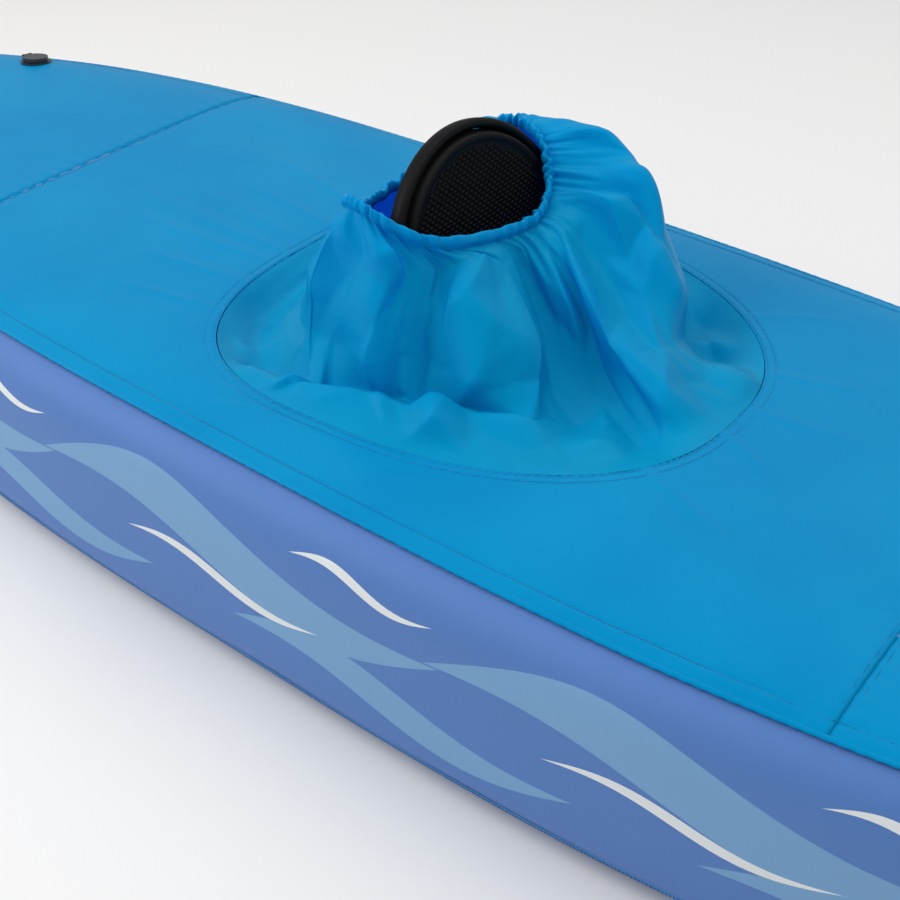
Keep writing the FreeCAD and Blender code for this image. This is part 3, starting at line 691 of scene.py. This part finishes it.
def side_point(x, level, side):
    """A point of the side panel from x in metres and its height amidships in mm."""
    half, keel, widest, top = station(x)
    up = level >= WIDEST_LEVEL
    share = (level - WIDEST_LEVEL) / np.where(up, TOP_LEVEL - WIDEST_LEVEL, WIDEST_LEVEL)
    power = np.where(up, TOP_POWER, KEEL_POWER)
    y = half * (1 - np.abs(share) ** power) ** (1 / power)
    z = widest + share * np.where(up, top - widest, widest - keel)
    return np.stack([x, side * y, z], -1)


def side_panel(word, side):
    """One printed panel: the print's outlines are cut into its mesh, and each face knows its ink."""
    columns, levels = 420, 52
    xs = np.linspace(-END_X * 1000, END_X * 1000, columns)
    zs = np.linspace(PANEL_LOW, PANEL_HIGH, levels)
    vertices = [(x, z) for z in zs for x in xs]
    loops, inks = [], []
    for ink, *measures in SWELLS:
        for k in range(SWELL_COUNT):
            line = tapering_wave(*measures) + (FIRST_SWELL + k * SWELL_PITCH, 0)
            # a wave that would run past the panel's end is left out whole
            if line[:, 0].max() > xs[-1]:
                continue
            after = np.roll(line, -1, 0)
            if (line[:, 0] * after[:, 1] - after[:, 0] * line[:, 1]).sum() < 0:
                line = line[::-1]
            loops.append(list(range(len(vertices), len(vertices) + len(line))))
            vertices.extend((p[0], p[1]) for p in line)
            inks.append(ink)
    flat = [Vector(v) for v in vertices]
    points, _, faces, _, _, owners = geometry.delaunay_2d_cdt(flat, [], loops, 0, 0.02, True)
    plan = np.array([(p.x, p.y) for p in points])
    plan[:, 1] = np.clip(plan[:, 1], PANEL_LOW, PANEL_HIGH)
    body = side_point(plan[:, 0] / 1000, plan[:, 1], side)
    # the cloth swells a little between its seams and ripples under the hem
    swell = 0.0012 * drift(body[None], 5, 8)[0]
    under = np.exp(-(((plan[:, 1] - 296) / 14) ** 2)) * np.sin(plan[:, 0] * 0.12)
    body[:, 1] += side * (swell + 0.0004 * under)
    order = [f if side < 0 else f[::-1] for f in faces]
    piece = solid_mesh(f"side_cloth_{word}", body, order, PRINTED)
    values = [inks[max(o)] if o else DARK for o in owners]
    attribute = piece.data.attributes.new("ink", "FLOAT", "FACE")
    attribute.data.foreach_set("value", values)
    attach(piece, "hull")
    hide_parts(f"side_panel_{word}")


side_panel("port", 1)
side_panel("starboard", -1)


def bottom():
    x, angle = np.meshgrid(np.linspace(-END_X, END_X, 320),
                           np.linspace(-180 - SEAM_ANGLE, SEAM_ANGLE, 150), indexing="ij")
    smooth = hull(x, angle)
    normal = hull(x, angle, 0.01) - smooth
    normal = normal / np.linalg.norm(normal, axis=-1, keepdims=True)
    # shallow channels between the floor's tubes
    channel = np.cos(smooth[..., 1] * 2 * math.pi / 0.11)
    free = smooth_step(np.abs(x), 0.45, 0.9)
    rise = 0.0009 * channel * free + 0.0010 * drift(smooth, 5, 9) * free
    points = smooth + normal * (rise - 0.0006)[..., None]
    points[..., 2] = np.maximum(points[..., 2], 0.0)
    piece = cloth("bottom_cloth", points, BOTTOM_PVC, 0.0015)
    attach(piece, "hull")
    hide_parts("bottom_skin")


def bottom_seams():
    """The welded band along each lower edge, with a dark bound line on it."""
    x = np.linspace(-1.583, 1.583, 640)
    for word, side in (("port", 1), ("starboard", -1)):
        rows = []
        for angle, out in ((-37.2, 0.0002), (-37.25, 0.0010), (-38.0, 0.0013), (-39.6, 0.0014),
                           (-41.4, 0.0011), (-41.5, 0.0002)):
            row = hull(x, np.full_like(x, angle if side > 0 else 180 - angle), out)
            row[:, 1] += side * 0.0003 * drift(row, 12, 10)
            rows.append(row)
        piece = cloth(f"lower_seam_{word}", np.array(rows), SEAM_TAPE, flip=side < 0)
        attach(piece, "hull")
        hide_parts(f"bottom_seam_tape_{word}")
    lines = []
    for angle in (-37.7, -38.5):
        for way in (angle, 180 - angle):
            lines.append(hull(x, np.full_like(x, way), 0.0014))
    stitches("stitches_lower_seam", lines, outwards, LOWER_THREAD)


bottom()
bottom_seams()

# --- cockpit skirt -----------------------------------------------------------------------------

# The waist's stitch line at every 45 degrees from the bow by port, in mm
COLLAR = [(92, 20, 450), (74, 98, 460), (22, 146, 502), (-36, 138, 508),
          (-78, 20, 470), (-66, -96, 472), (-8, -178, 530), (70, -130, 484)]

# Folds of the hanging cloth, from the sewn seam up: angle round the seam, angle round the
# waist, then five points in mm. A tongue stands at 250, rounded folds at 267 and 294, a sharp
# fold at 304 with a deep valley behind it, a flat panel by 350 and a long crest at 16 and 30
FOLDS = [
    (250, 262, (-45, -272, 330), (-30, -250, 322), (-58, -216, 365), (-58, -208, 425), (-38, -196, 485)),
    (258, 269, (-20, -268, 336), (-2, -240, 316), (-20, -206, 360), (-12, -202, 425), (-6, -188, 490)),
    (267, 284, (45, -246, 340), (50, -222, 322), (44, -232, 368), (54, -214, 425), (54, -184, 474)),
    (277, 300, (105, -232, 341), (100, -205, 318), (94, -184, 365), (88, -162, 425), (78, -136, 460)),
    (285, 312, (140, -208, 341), (130, -185, 318), (114, -172, 365), (98, -138, 428), (84, -108, 456)),
    (294, 324, (192, -182, 336), (184, -172, 320), (174, -174, 365), (152, -126, 415), (98, -70, 455)),
    (304, 336, (235, -163, 328), (232, -158, 322), (224, -120, 352), (202, -88, 385), (124, -48, 442)),
    (314, 346, (285, -165, 314), (240, -110, 306), (190, -55, 322), (152, -22, 362), (102, 0, 430)),
    (325, 356, (335, -130, 310), (290, -85, 304), (222, -33, 318), (172, -2, 375), (110, 18, 432)),
    (337, 6, (365, -105, 308), (320, -62, 302), (242, -10, 320), (182, 14, 382), (116, 34, 436)),
    (350, 16, (385, -50, 322), (340, -45, 334), (255, -22, 362), (203, 5, 404), (128, 48, 444)),
    (5, 28, (395, 20, 322), (345, 10, 338), (285, 15, 352), (213, 56, 393), (132, 75, 450)),
    (16, 40, (392, 78, 325), (350, 62, 337), (302, 45, 352), (258, 80, 385), (145, 108, 458)),
    (30, 54, (350, 128, 303), (315, 120, 296), (285, 110, 330), (268, 112, 396), (170, 138, 474)),
    (45, 68, (312, 175, 299), (285, 165, 290), (262, 150, 310), (240, 152, 384), (165, 170, 484)),
    (60, 80, (255, 215, 301), (235, 205, 294), (215, 195, 325), (198, 195, 405), (132, 194, 502)),
    (78, 96, (160, 258, 307), (150, 245, 303), (135, 228, 340), (118, 222, 425), (76, 196, 517)),
    (100, 116, (0, 280, 312), (-5, 265, 308), (-5, 240, 350), (-5, 228, 436), (-4, 190, 522)),
    (125, 140, (-135, 255, 312), (-125, 240, 306), (-105, 205, 350), (-92, 192, 430), (-66, 166, 506)),
    (150, 160, (-205, 182, 310), (-190, 170, 304), (-150, 135, 345), (-128, 115, 405), (-104, 85, 455)),
    (175, 184, (-238, 25, 308), (-222, 22, 300), (-175, 10, 345), (-145, 5, 395), (-110, 5, 445)),
    (200, 212, (-225, -140, 300), (-205, -130, 290), (-165, -100, 325), (-138, -92, 385), (-108, -92, 440)),
    (218, 230, (-185, -215, 300), (-165, -195, 290), (-120, -155, 325), (-102, -150, 395), (-78, -145, 458)),
    (236, 248, (-125, -262, 310), (-105, -240, 298), (-75, -195, 335), (-72, -185, 400), (-52, -180, 478)),
]


def spline(points, at, closed):
    """Catmull-Rom through points along the first axis, at fractional positions."""
    points = np.asarray(points, float)
    count = len(points)
    index = np.floor(at).astype(int)
    if not closed:
        index = np.clip(index, 0, count - 2)
    u = (at - index).reshape(-1, *([1] * (points.ndim - 1)))
    found = []
    for shift in (-1, 0, 1, 2):
        k = index + shift
        k = k % count if closed else np.clip(k, 0, count - 1)
        found.append(points[k])
    p0, p1, p2, p3 = found
    return 0.5 * (2 * p1 + (p2 - p0) * u + (2 * p0 - 5 * p1 + 4 * p2 - p3) * u * u
                  + (3 * p1 - p0 - 3 * p2 + p3) * u**3)


def faceted(points, at, closed, share):
    """A curve through points with part of it straight between them, as stiff thin cloth folds."""
    points = np.asarray(points, float)
    index = np.floor(at).astype(int)
    index = index if closed else np.clip(index, 0, len(points) - 2)
    u = (at - index).reshape(-1, *([1] * (points.ndim - 1)))
    straight = points[index % len(points)] * (1 - u) + points[(index + 1) % len(points)] * u
    return share * straight + (1 - share) * spline(points, at, closed)


def unwrapped(angles):
    return np.degrees(np.unwrap(np.radians(angles)))


def waist_line(angles):
    return spline(COLLAR, (np.asarray(angles) % 360) / 45, True) * MM


def gathers(angles):
    """The waist's small pleats: an uneven wave round the elastic, about -1 to 1."""
    turn = np.radians(angles)
    phase = 39 * turn + 2.4 * np.sin(5 * turn + 0.4) + 1.6 * np.sin(11 * turn + 2.0)
    size = np.clip(0.55 + 0.40 * np.sin(6 * turn + 1.0) + 0.25 * np.sin(13 * turn), 0.1, 1.1)
    return size * np.sin(phase) + 0.22 * np.sin(2.0 * phase + 1.3)


AROUND, UPWARDS = 344, 72
# how firmly the loose cloth keeps its placed folds while it settles, and for how many frames
FOLD_HOLD = 0.12
SETTLE_FRAMES = 14


def skirt_form():
    """The loose cloth before it settles: rings from the seam to the waist, with waist angles."""
    seam = unwrapped([f[0] for f in FOLDS])
    waist = unwrapped([f[1] for f in FOLDS])
    at = np.linspace(0, len(FOLDS), AROUND, endpoint=False)
    # the angles gain a full turn over the closed loop, so it is taken out and put back
    lap = at * 360 / len(FOLDS)
    own = np.arange(len(FOLDS)) * 360 / len(FOLDS)
    seam_at = spline((seam - own)[:, None], at, True)[:, 0] + lap
    waist_at = spline((waist - own)[:, None], at, True)[:, 0] + lap
    middle = faceted([f[2:] for f in FOLDS], at, True, 0.6) * MM
    x, y = cockpit_edge(seam_at, -0.001)
    foot = on_deck(x, y, DECK_OUT - 0.001)
    head = waist_line(waist_at)
    columns = np.concatenate([foot[:, None], middle, head[:, None]], 1)
    grid = np.empty((UPWARDS, AROUND, 3))
    for k in range(AROUND):
        steps = np.linspace(0, columns.shape[1] - 1, 240)
        line = faceted(columns[k], steps, False, 0.45)
        length = np.concatenate([[0], np.cumsum(np.linalg.norm(np.diff(line, axis=0), axis=1))])
        even = np.linspace(0, length[-1], UPWARDS)
        grid[:, k] = np.stack([np.interp(even, length, line[:, c]) for c in range(3)], -1)
    return grid, waist_at


def pleated(grid, waist_at):
    """Adds the pleats that run down from the elastic and fade in the cloth."""
    out = normals_of(grid, True)
    if (out[-1] * (grid[-1] - grid[-1].mean(0))).sum() < 0:
        out = -out
    height = np.linspace(0, 1, UPWARDS)[:, None]
    wave = gathers(waist_at)[None, :]
    slow = gathers(waist_at * 0.5 + 40)[None, :]
    near = smooth_step(height, 0.72, 1.0) ** 1.5
    reach = smooth_step(height, 0.35, 0.85) * (1 - 0.6 * near)
    lift = 0.0032 * wave * near + 0.0050 * slow * reach
    return grid + out * lift[..., None], out


CRUMPLE_ROWS, CRUMPLE_COLUMNS, CRUMPLE_PUSH = 6, 32, 0.0125


def crumpled(grid, out):
    """Flat facets between scattered points, some in, some out, as paper crumples."""
    chance = np.random.default_rng(11)
    points, shift = [], []
    for i in range(CRUMPLE_ROWS + 1):
        for j in range(CRUMPLE_COLUMNS):
            up = np.clip((i + chance.uniform(-0.4, 0.4)) / CRUMPLE_ROWS, 0, 1)
            turn = (j + 0.5 * (i % 2) + chance.uniform(-0.4, 0.4)) / CRUMPLE_COLUMNS % 1.0
            push = np.clip(chance.normal(), -0.5, 1.7) * CRUMPLE_PUSH
            for lap in (-1, 0, 1):
                if -0.12 < turn + lap < 1.12:
                    points.append(Vector(((turn + lap) * AROUND, up * UPWARDS)))
                    shift.append(push)
    verts, _, tris, origin = geometry.delaunay_2d_cdt(points, [], [], 0, 1e-6)[:4]
    field = np.zeros((UPWARDS, AROUND))
    for tri in tris:
        corner = np.array([verts[t] for t in tri])
        a, b, c = (shift[origin[t][0]] for t in tri)
        low, high = np.floor(corner.min(0)).astype(int), np.ceil(corner.max(0)).astype(int)
        j, i = np.meshgrid(np.arange(low[0], high[0] + 1), np.arange(low[1], high[1] + 1))
        (ax, ay), (bx, by), (cx, cy) = corner
        area = (by - cy) * (ax - cx) + (cx - bx) * (ay - cy)
        if abs(area) < 1e-6:
            continue
        wa = ((by - cy) * (j - cx) + (cx - bx) * (i - cy)) / area
        wb = ((cy - ay) * (j - cx) + (ax - cx) * (i - cy)) / area
        wc = 1 - wa - wb
        inside = (np.minimum(np.minimum(wa, wb), wc) > -1e-6) & (i >= 0) & (i < UPWARDS)
        field[i[inside], j[inside] % AROUND] = (wa * a + wb * b + wc * c)[inside]
    field = (2 * field + np.roll(field, 1, 1) + np.roll(field, -1, 1)) / 4
    height = np.linspace(0, 1, UPWARDS)[:, None]
    fade = smooth_step(height, 0.0, 0.16) * (1 - smooth_step(height, 0.84, 1.0))
    return grid + out * (field * fade)[..., None]


def settle(piece, grid):
    """Lets the cloth buckle: it has more length than the room it hangs in."""
    mesh = piece.data
    pins = piece.vertex_groups.new(name="pins")
    hold = np.full((UPWARDS, AROUND), FOLD_HOLD)
    hold[:2] = 1.0
    hold[-2:] = 1.0
    for weight in (FOLD_HOLD, 1.0):
        chosen = np.nonzero(hold.ravel() == weight)[0]
        pins.add([int(c) for c in chosen], weight, "REPLACE")
    piece.shape_key_add(name="Basis")
    loose = piece.shape_key_add(name="cut_size")
    middle = grid.mean((0, 1))
    share = np.linspace(0, 1, UPWARDS)[:, None, None]
    bigger = middle + (grid - middle) * np.concatenate(
        [1.035 + 0.10 * share**3, 1.035 + 0.10 * share**3, np.full_like(share, 1.035)], -1)
    loose.data.foreach_set("co", bigger.astype(np.float32).ravel())
    loose.value = 0
    fabric = piece.modifiers.new("fabric", "CLOTH")
    setting = fabric.settings
    setting.quality = 6
    setting.mass = 0.02
    setting.tension_stiffness = 25
    setting.compression_stiffness = 25
    setting.shear_stiffness = 10
    setting.bending_stiffness = 0.05
    setting.air_damping = 2
    setting.tension_damping = 12
    setting.compression_damping = 12
    setting.vertex_group_mass = "pins"
    setting.pin_stiffness = 1.0
    setting.rest_shape_key = loose
    setting.effector_weights.gravity = 0.0
    fabric.collision_settings.use_collision = False
    fabric.collision_settings.use_self_collision = False
    fabric.point_cache.frame_start = 1
    fabric.point_cache.frame_end = SETTLE_FRAMES
    for step in range(1, SETTLE_FRAMES + 1):
        scene.frame_set(step)
    graph = bpy.context.evaluated_depsgraph_get()
    settled = piece.evaluated_get(graph)
    place = np.empty(len(mesh.vertices) * 3, np.float32)
    settled.data.vertices.foreach_get("co", place)
    piece.modifiers.clear()
    piece.shape_key_clear()
    piece.vertex_groups.clear()
    scene.frame_set(1)
    return place.reshape(UPWARDS, AROUND, 3).astype(float)


def cockpit_skirt():
    grid, waist_at = skirt_form()
    grid, out = pleated(grid, waist_at)
    piece = cloth("cockpit_skirt", grid, SKIRT_NYLON_PAINTED_LIGHT, ring=True)
    grid = settle(piece, grid)
    grid = crumpled(grid, out)
    piece.data.vertices.foreach_set("co", grid.astype(np.float32).ravel())
    finer = piece.modifiers.new("finer", "SUBSURF")
    finer.levels = finer.render_levels = 1
    applied(piece)
    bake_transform(piece)
    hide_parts("spray_skirt")
    return grid, waist_at


def waist_band():
    """The casing: two layers folded over the elastic and gathered on it."""
    angles = np.linspace(0, 360, 760, endpoint=False)
    line = waist_line(angles)
    way = np.gradient(np.concatenate([line[-2:], line, line[:2]]), axis=0)[2:-2]
    away = np.cross(way, (0, 0, 1.0))
    away = away / np.linalg.norm(away, axis=1, keepdims=True)
    wave = gathers(angles)
    turn = np.radians(angles)
    ruffle = 0.0013 * np.sin(87 * turn + 2.6 * np.sin(9 * turn)) * (0.6 + 0.4 * np.sin(4 * turn))
    rows = []
    # across the band: out from the line and up it, then how much the pleats move it
    profile = [(0.0012, -0.002, 0.7), (0.0026, 0.002, 0.8), (0.0048, 0.006, 1.0),
               (0.0050, 0.010, 1.1), (0.0034, 0.0145, 1.1), (0.0012, 0.0170, 1.1),
               (-0.0014, 0.0170, 1.1), (-0.0030, 0.0135, 1.0), (-0.0034, 0.009, 0.9),
               (-0.0022, 0.004, 0.8), (-0.0006, 0.000, 0.7)]
    for out, up, share in profile:
        lean = 0.0034 * wave * share + ruffle * share * up / 0.02
        rise = up * (0.92 + 0.09 * wave + 0.05 * np.sin(31 * turn + 0.5))
        row = line + away * (out + lean)[:, None] + np.array((0, 0, 1)) * rise[:, None]
        rows.append(row)
    band = cloth("waist_casing_cloth", np.array(rows), SKIRT_NYLON_PAINTED_LIGHT, ring=True)
    finer = band.modifiers.new("finer", "SUBSURF")
    finer.levels = finer.render_levels = 1
    applied(band)
    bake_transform(band)
    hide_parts("waist_casing")
    core = []
    for out, up in ((0.0016, 0.004), (0.0016, 0.011), (0.0004, 0.011), (0.0004, 0.004)):
        core.append(line + away * (out + 0.003 * wave)[:, None] + np.array((0, 0, up)))
    core.append(core[0])
    elastic = fix_normals(cloth("waist_elastic_band", np.array(core), ELASTIC, ring=True))
    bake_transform(elastic)
    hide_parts("waist_elastic")


cockpit_skirt()
waist_band()

# --- backrest ----------------------------------------------------------------------------------

RECLINE = math.radians(18)
BACK_FOOT = np.array((0.152, 0, 0.125))
BACK_LENGTH, BACK_HALF, FOOT_ROUND = 0.471, 0.167, 0.05


def back_outline(inset):
    """The arched outline in the backrest's own plane: across and up."""
    half, low = BACK_HALF - inset, inset
    round_r = max(FOOT_ROUND - inset, 0.012)
    shoulder = BACK_LENGTH - BACK_HALF
    line = []
    for turn in np.linspace(0, math.pi, 80):
        line.append((half * math.cos(turn), shoulder + half * math.sin(turn)))
    for up in np.linspace(shoulder, low + round_r, 30)[1:-1]:
        line.append((-half, up))
    for turn in np.linspace(math.pi, 1.5 * math.pi, 16):
        line.append((-half + round_r + round_r * math.cos(turn), low + round_r + round_r * math.sin(turn)))
    for y in np.linspace(-half + round_r, half - round_r, 30)[1:-1]:
        line.append((y, low))
    for turn in np.linspace(1.5 * math.pi, 2 * math.pi, 16):
        line.append((half - round_r + round_r * math.cos(turn), low + round_r + round_r * math.sin(turn)))
    for up in np.linspace(low + round_r, shoulder, 30)[1:-1]:
        line.append((half, up))
    return np.array(line)


def reclined(front, y, up):
    """From the backrest's own frame to the kayak's."""
    x = BACK_FOOT[0] + front * math.cos(RECLINE) - up * math.sin(RECLINE)
    z = BACK_FOOT[2] + front * math.sin(RECLINE) + up * math.cos(RECLINE)
    return np.stack([x, y + np.zeros_like(x), z], -1)


def back_rings(profile):
    rows = []
    for inset, front in profile:
        line = back_outline(inset)
        rows.append(reclined(np.full(len(line), front), line[:, 0], line[:, 1]))
    return np.array(rows)


def backrest():
    rim = [(0.0130, -0.0195), (0.003, -0.0195), (0.0004, -0.017), (0.0, -0.012), (0.0003, -0.006),
           (0.0018, -0.0018), (0.0046, 0.0002), (0.0078, 0.0004), (0.0102, -0.0008),
           (0.0122, -0.0036), (0.0130, -0.0075), (0.0130, -0.012)]
    piece = fix_normals(cloth("backrest_binding", back_rings(rim + rim[:1]), EVA_FOAM, ring=True))
    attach(piece, "backrest")
    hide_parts("backrest_rim")
    # groove, rounded shoulder, then the studded panel
    pad = [(0.0136, -0.0155), (0.0136, -0.0068), (0.0146, -0.0062), (0.0156, -0.0040),
           (0.0166, 0.0005), (0.0184, 0.0045), (0.0208, 0.0064), (0.0236, 0.0066),
           (0.0264, 0.0054), (0.0290, 0.0038), (0.0312, 0.0030)]
    rows = back_rings(pad)
    face = list(grid_faces(len(pad), rows.shape[1], True))
    count = rows.shape[1]
    face.append(tuple(range(count)))
    face.append(tuple(range((len(pad) - 1) * count, len(pad) * count))[::-1])
    piece = fix_normals(solid_mesh("backrest_moulding", rows.reshape(-1, 3), face, EVA_FOAM))
    edges = piece.modifiers.new("flats", "EDGE_SPLIT")
    edges.split_angle = math.radians(60)
    applied(piece)
    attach(piece, "backrest")
    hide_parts("backrest_pad")
    studs()


STUD_ROW, STUD_STEP = 0.0050, 0.0098


def studs():
    """Low oval studs in staggered rows, a little slanted, inside the panel."""
    edge = back_outline(0.0345)
    shoulder = BACK_LENGTH - BACK_HALF
    points = []
    for i in range(94):
        for j in range(-17, 18):
            y = (j + 0.5 * (i % 2)) * STUD_STEP
            up = 0.06 + i * STUD_ROW
            half = edge[:, 0].max()
            if abs(y) > half or up < edge[:, 1].min() + 0.004:
                continue
            if up > shoulder and math.hypot(y, up - shoulder) > half:
                continue
            points.append((y, up))
    points = np.array(points)
    place = reclined(np.full(len(points), 0.0032), points[:, 0], points[:, 1])
    slant = reclined(np.zeros(1), np.array([1.0]), np.array([0.22]))[0] - BACK_FOOT
    front = np.array((math.cos(RECLINE), 0, math.sin(RECLINE)))
    piece = scatter("backrest_studs", DOME, (0.0040, 0.0024, 0.0019), place,
                    np.tile(slant, (len(place), 1)), np.tile(front, (len(place), 1)), EVA_FOAM)
    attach(piece, "backrest")


backrest()

# --- seat cushion, straps and air chambers -----------------------------------------------------


def cushion():
    """A crowned pad with two sewn channels across it and a welt round its edge."""
    low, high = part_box("seat_cushion")
    middle = (low + high) / 2
    half = (high - low) / 2
    count = 128
    turns = np.linspace(0, 2 * math.pi, count, endpoint=False)
    corner = (np.abs(np.cos(turns)) ** 6 + np.abs(np.sin(turns)) ** 6) ** (-1 / 6)
    plan = np.stack([half.x * corner * np.cos(turns), half.y * corner * np.sin(turns)], -1)
    rows = []
    rings = 22
    for k in range(2 * rings + 1):
        turn = math.pi * k / (2 * rings) - math.pi / 2
        inwards = math.cos(turn) ** 0.55
        up = math.copysign(abs(math.sin(turn)) ** 0.8, math.sin(turn))
        x, y = plan[:, 0] * inwards, plan[:, 1] * inwards
        z = middle.z + half.z * 0.97 * up
        crown = 0.004 * (1 - (x / half.x) ** 2) * (1 - (y / half.y) ** 2)
        channel = sum(0.008 * np.exp(-((x - c) / 0.008) ** 2) for c in (-0.055, 0.055))
        pull = (crown - channel - 0.003) if up > 0 else 0 * x
        row = np.stack([middle.x + x, y, z + pull * max(up, 0)], -1)
        rows.append(row)
    piece = cloth("seat_pad", np.array(rows), SEAT_FABRIC, ring=True)
    piece = fix_normals(piece)
    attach(piece, "hull")
    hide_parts("seat_cushion")
    loop = np.stack([middle.x + plan[:, 0] * 1.0, plan[:, 1] * 1.0,
                     np.full(count, middle.z)], -1)
    tube_round("seat_welt", loop, 0.0022, SEAT_FABRIC, "hull")


def tube_round(name, loop, radius, finish, body):
    """A closed welt along a loop."""
    way = np.roll(loop, -1, 0) - np.roll(loop, 1, 0)
    way = way / np.linalg.norm(way, axis=1, keepdims=True)
    side = np.cross(way, (0, 0, 1.0))
    side = side / np.linalg.norm(side, axis=1, keepdims=True)
    up = np.cross(side, way)
    rows = []
    for turn in np.linspace(0, 2 * math.pi, 9):
        rows.append(loop + radius * (math.cos(turn) * side + math.sin(turn) * up))
    piece = fix_normals(cloth(name, np.array(rows), finish, ring=True))
    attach(piece, body)


def seat_strap(word, side, place, reach):
    """A webbing strap from the backrest's lug to its anchor on the chamber."""
    low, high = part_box(f"seat_strap_{place}_{word}")
    lug_x = low.x + 0.001 if reach > 0 else high.x - 0.001
    end_x = high.x - 0.001 if reach > 0 else low.x + 0.001
    inner = min(abs(low.y), abs(high.y)) + 0.001
    outer = max(abs(low.y), abs(high.y)) - 0.001
    top, bottom_z = high.z - 0.0130, low.z + 0.0130
    a = np.array((lug_x, side * inner, top))
    b = np.array((end_x, side * outer, bottom_z))
    t = np.linspace(0, 1, 90)
    line = a + (b - a) * t[:, None]
    line[:, 2] -= 0.052 * np.sin(math.pi * t) ** 0.6
    run = (b - a) / np.linalg.norm(b - a)
    across = np.cross(run, (0, 0, 1.0))
    across = across / np.linalg.norm(across)
    up = np.cross(across, run)
    rows = []
    for u in np.linspace(-1, 1, 13):
        rib = 0.00025 * math.cos(u * 18)
        rows.append(line + up * 0.0120 * u + across * (rib + 0.0008 * np.sin(t * 40)[:, None] * 0.4))
    piece = cloth(f"strap_{place}_{word}", np.array(rows), WEBBING, 0.0014)
    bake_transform(piece)
    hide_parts(f"seat_strap_{place}_{word}")


def floor_tubes():
    """The floor's air mattress: long tubes side by side between its skins."""
    low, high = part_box("floor_chamber")
    xs = np.linspace(low.x + 0.002, high.x - 0.002, 120)
    turns = np.linspace(0, 2 * math.pi, 160, endpoint=False)
    rows = []
    for x in xs:
        half, keel, _, _ = station(x)
        across = max(half - 0.006 - 0.144 - 0.010, 0.02)
        end = min(1.0, (xs[-1] - abs(x)) / 0.03 + 0.25) ** 0.5
        reach = (np.abs(np.cos(turns)) ** 5 + np.abs(np.sin(turns)) ** 5) ** (-1 / 5)
        y = across * reach * np.cos(turns) * (0.9 + 0.1 * end)
        flat = np.abs(np.sin(math.pi * y / 0.058 + math.pi / 2)) ** 0.5
        thick = 0.0425 * end * (0.84 + 0.15 * flat)
        z = keel + 0.0063 + 0.0425 + thick * reach * np.sin(turns)
        rows.append(np.stack([np.full_like(y, x), y, z], -1))
    body = np.array(rows)
    faces = grid_faces(len(xs), len(turns), True)
    faces.append(tuple(range(len(turns))))
    faces.append(tuple(range((len(xs) - 1) * len(turns), len(xs) * len(turns))))
    piece = fix_normals(solid_mesh("floor_air_mat", body.reshape(-1, 3), faces, CHAMBER_PVC))
    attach(piece, "hull")
    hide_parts("floor_chamber")


def side_tube(word, side):
    """A side chamber: the hull's curve outboard and its mirror inboard, with a welded seam."""
    xs = 1.538 * np.sin(np.linspace(-math.pi / 2, math.pi / 2, 170))
    rows = []
    for x in xs:
        half, keel, widest, top = station(x)
        outer = half - 0.0065
        width = min(0.0715, (outer - 0.003) / 2)
        middle = outer - width
        end = min(1.0, (1.5385 - abs(x)) / 0.03) ** 0.5 * 0.75 + 0.25
        turns = np.linspace(-math.pi, math.pi, 72, endpoint=False)
        share = (outer - width + width * np.abs(np.cos(turns)) ** 0.7) / outer
        up = np.sin(turns)
        power = np.where(up >= 0, TOP_POWER, KEEL_POWER)
        limit = (1 - np.minimum(share, 1) ** power) ** (1 / power)
        base = (1 - (middle / outer) ** power) ** (1 / power)
        level = np.where(np.abs(np.cos(turns)) > 0.02, np.abs(up) ** 0.55 * base, base)
        rise = np.where(up >= 0, top - widest, widest - keel) - 0.0065
        z = widest + np.sign(up) * np.minimum(limit, level) * rise * end
        y = middle + np.sign(np.cos(turns)) * width * np.abs(np.cos(turns)) ** 0.7 * end
        weld = 0.0012 * np.exp(-((turns % (2 * math.pi) - math.pi) / 0.05) ** 2)
        rows.append(np.stack([np.full_like(y, x), side * (y - weld), z], -1))
    body = np.array(rows)
    faces = grid_faces(len(xs), 72, True)
    faces.append(tuple(range(72)))
    faces.append(tuple(range((len(xs) - 1) * 72, len(xs) * 72)))
    piece = fix_normals(solid_mesh(f"side_tube_{word}", body.reshape(-1, 3), faces, CHAMBER_PVC))
    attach(piece, "hull")
    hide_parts(f"side_chamber_{word}")


cushion()
for word, side in (("port", 1), ("starboard", -1)):
    seat_strap(word, side, "front", 1)
    seat_strap(word, side, "rear", -1)
    side_tube(word, side)
floor_tubes()

# --- finishes of the parts kept from the frame ---------------------------------------------------

FINISHES = {
    "_valve_base": VALVE_PLASTIC, "_valve_stem": BUCKLE_PLASTIC, "_valve_cap": VALVE_PLASTIC,
    "drain_fitting": VALVE_PLASTIC, "drain_plug": BUCKLE_PLASTIC, "_handle_anchor": BUCKLE_PLASTIC,
    "_handle_patch": STEM_PVC, "_handle_webbing": WEBBING, "_handle_grip": EVA_FOAM,
    "_stem_cap": STEM_PVC, "skeg_track": STEM_PVC, "seam_tape": SEAM_TAPE,
    "backrest_board": BOARD_PE, "backrest_strap_lugs": BUCKLE_PLASTIC, "strap_anchors": STEM_PVC,
    "strap_adjusters": BUCKLE_PLASTIC, "seat_base_webbing": WEBBING,
}
for node, thing in NODES.items():
    for ending, finish in FINISHES.items():
        if ending in node:
            thing.data.materials.clear()
            thing.data.materials.append(finish)

# --- floor ---------------------------------------------------------------------------------------

ground = solid_mesh("ground", [(-20, -20, 0), (20, -20, 0), (20, 20, 0), (-20, 20, 0)],
                    [(0, 1, 2, 3)], PALE_FLOOR, smooth=False)
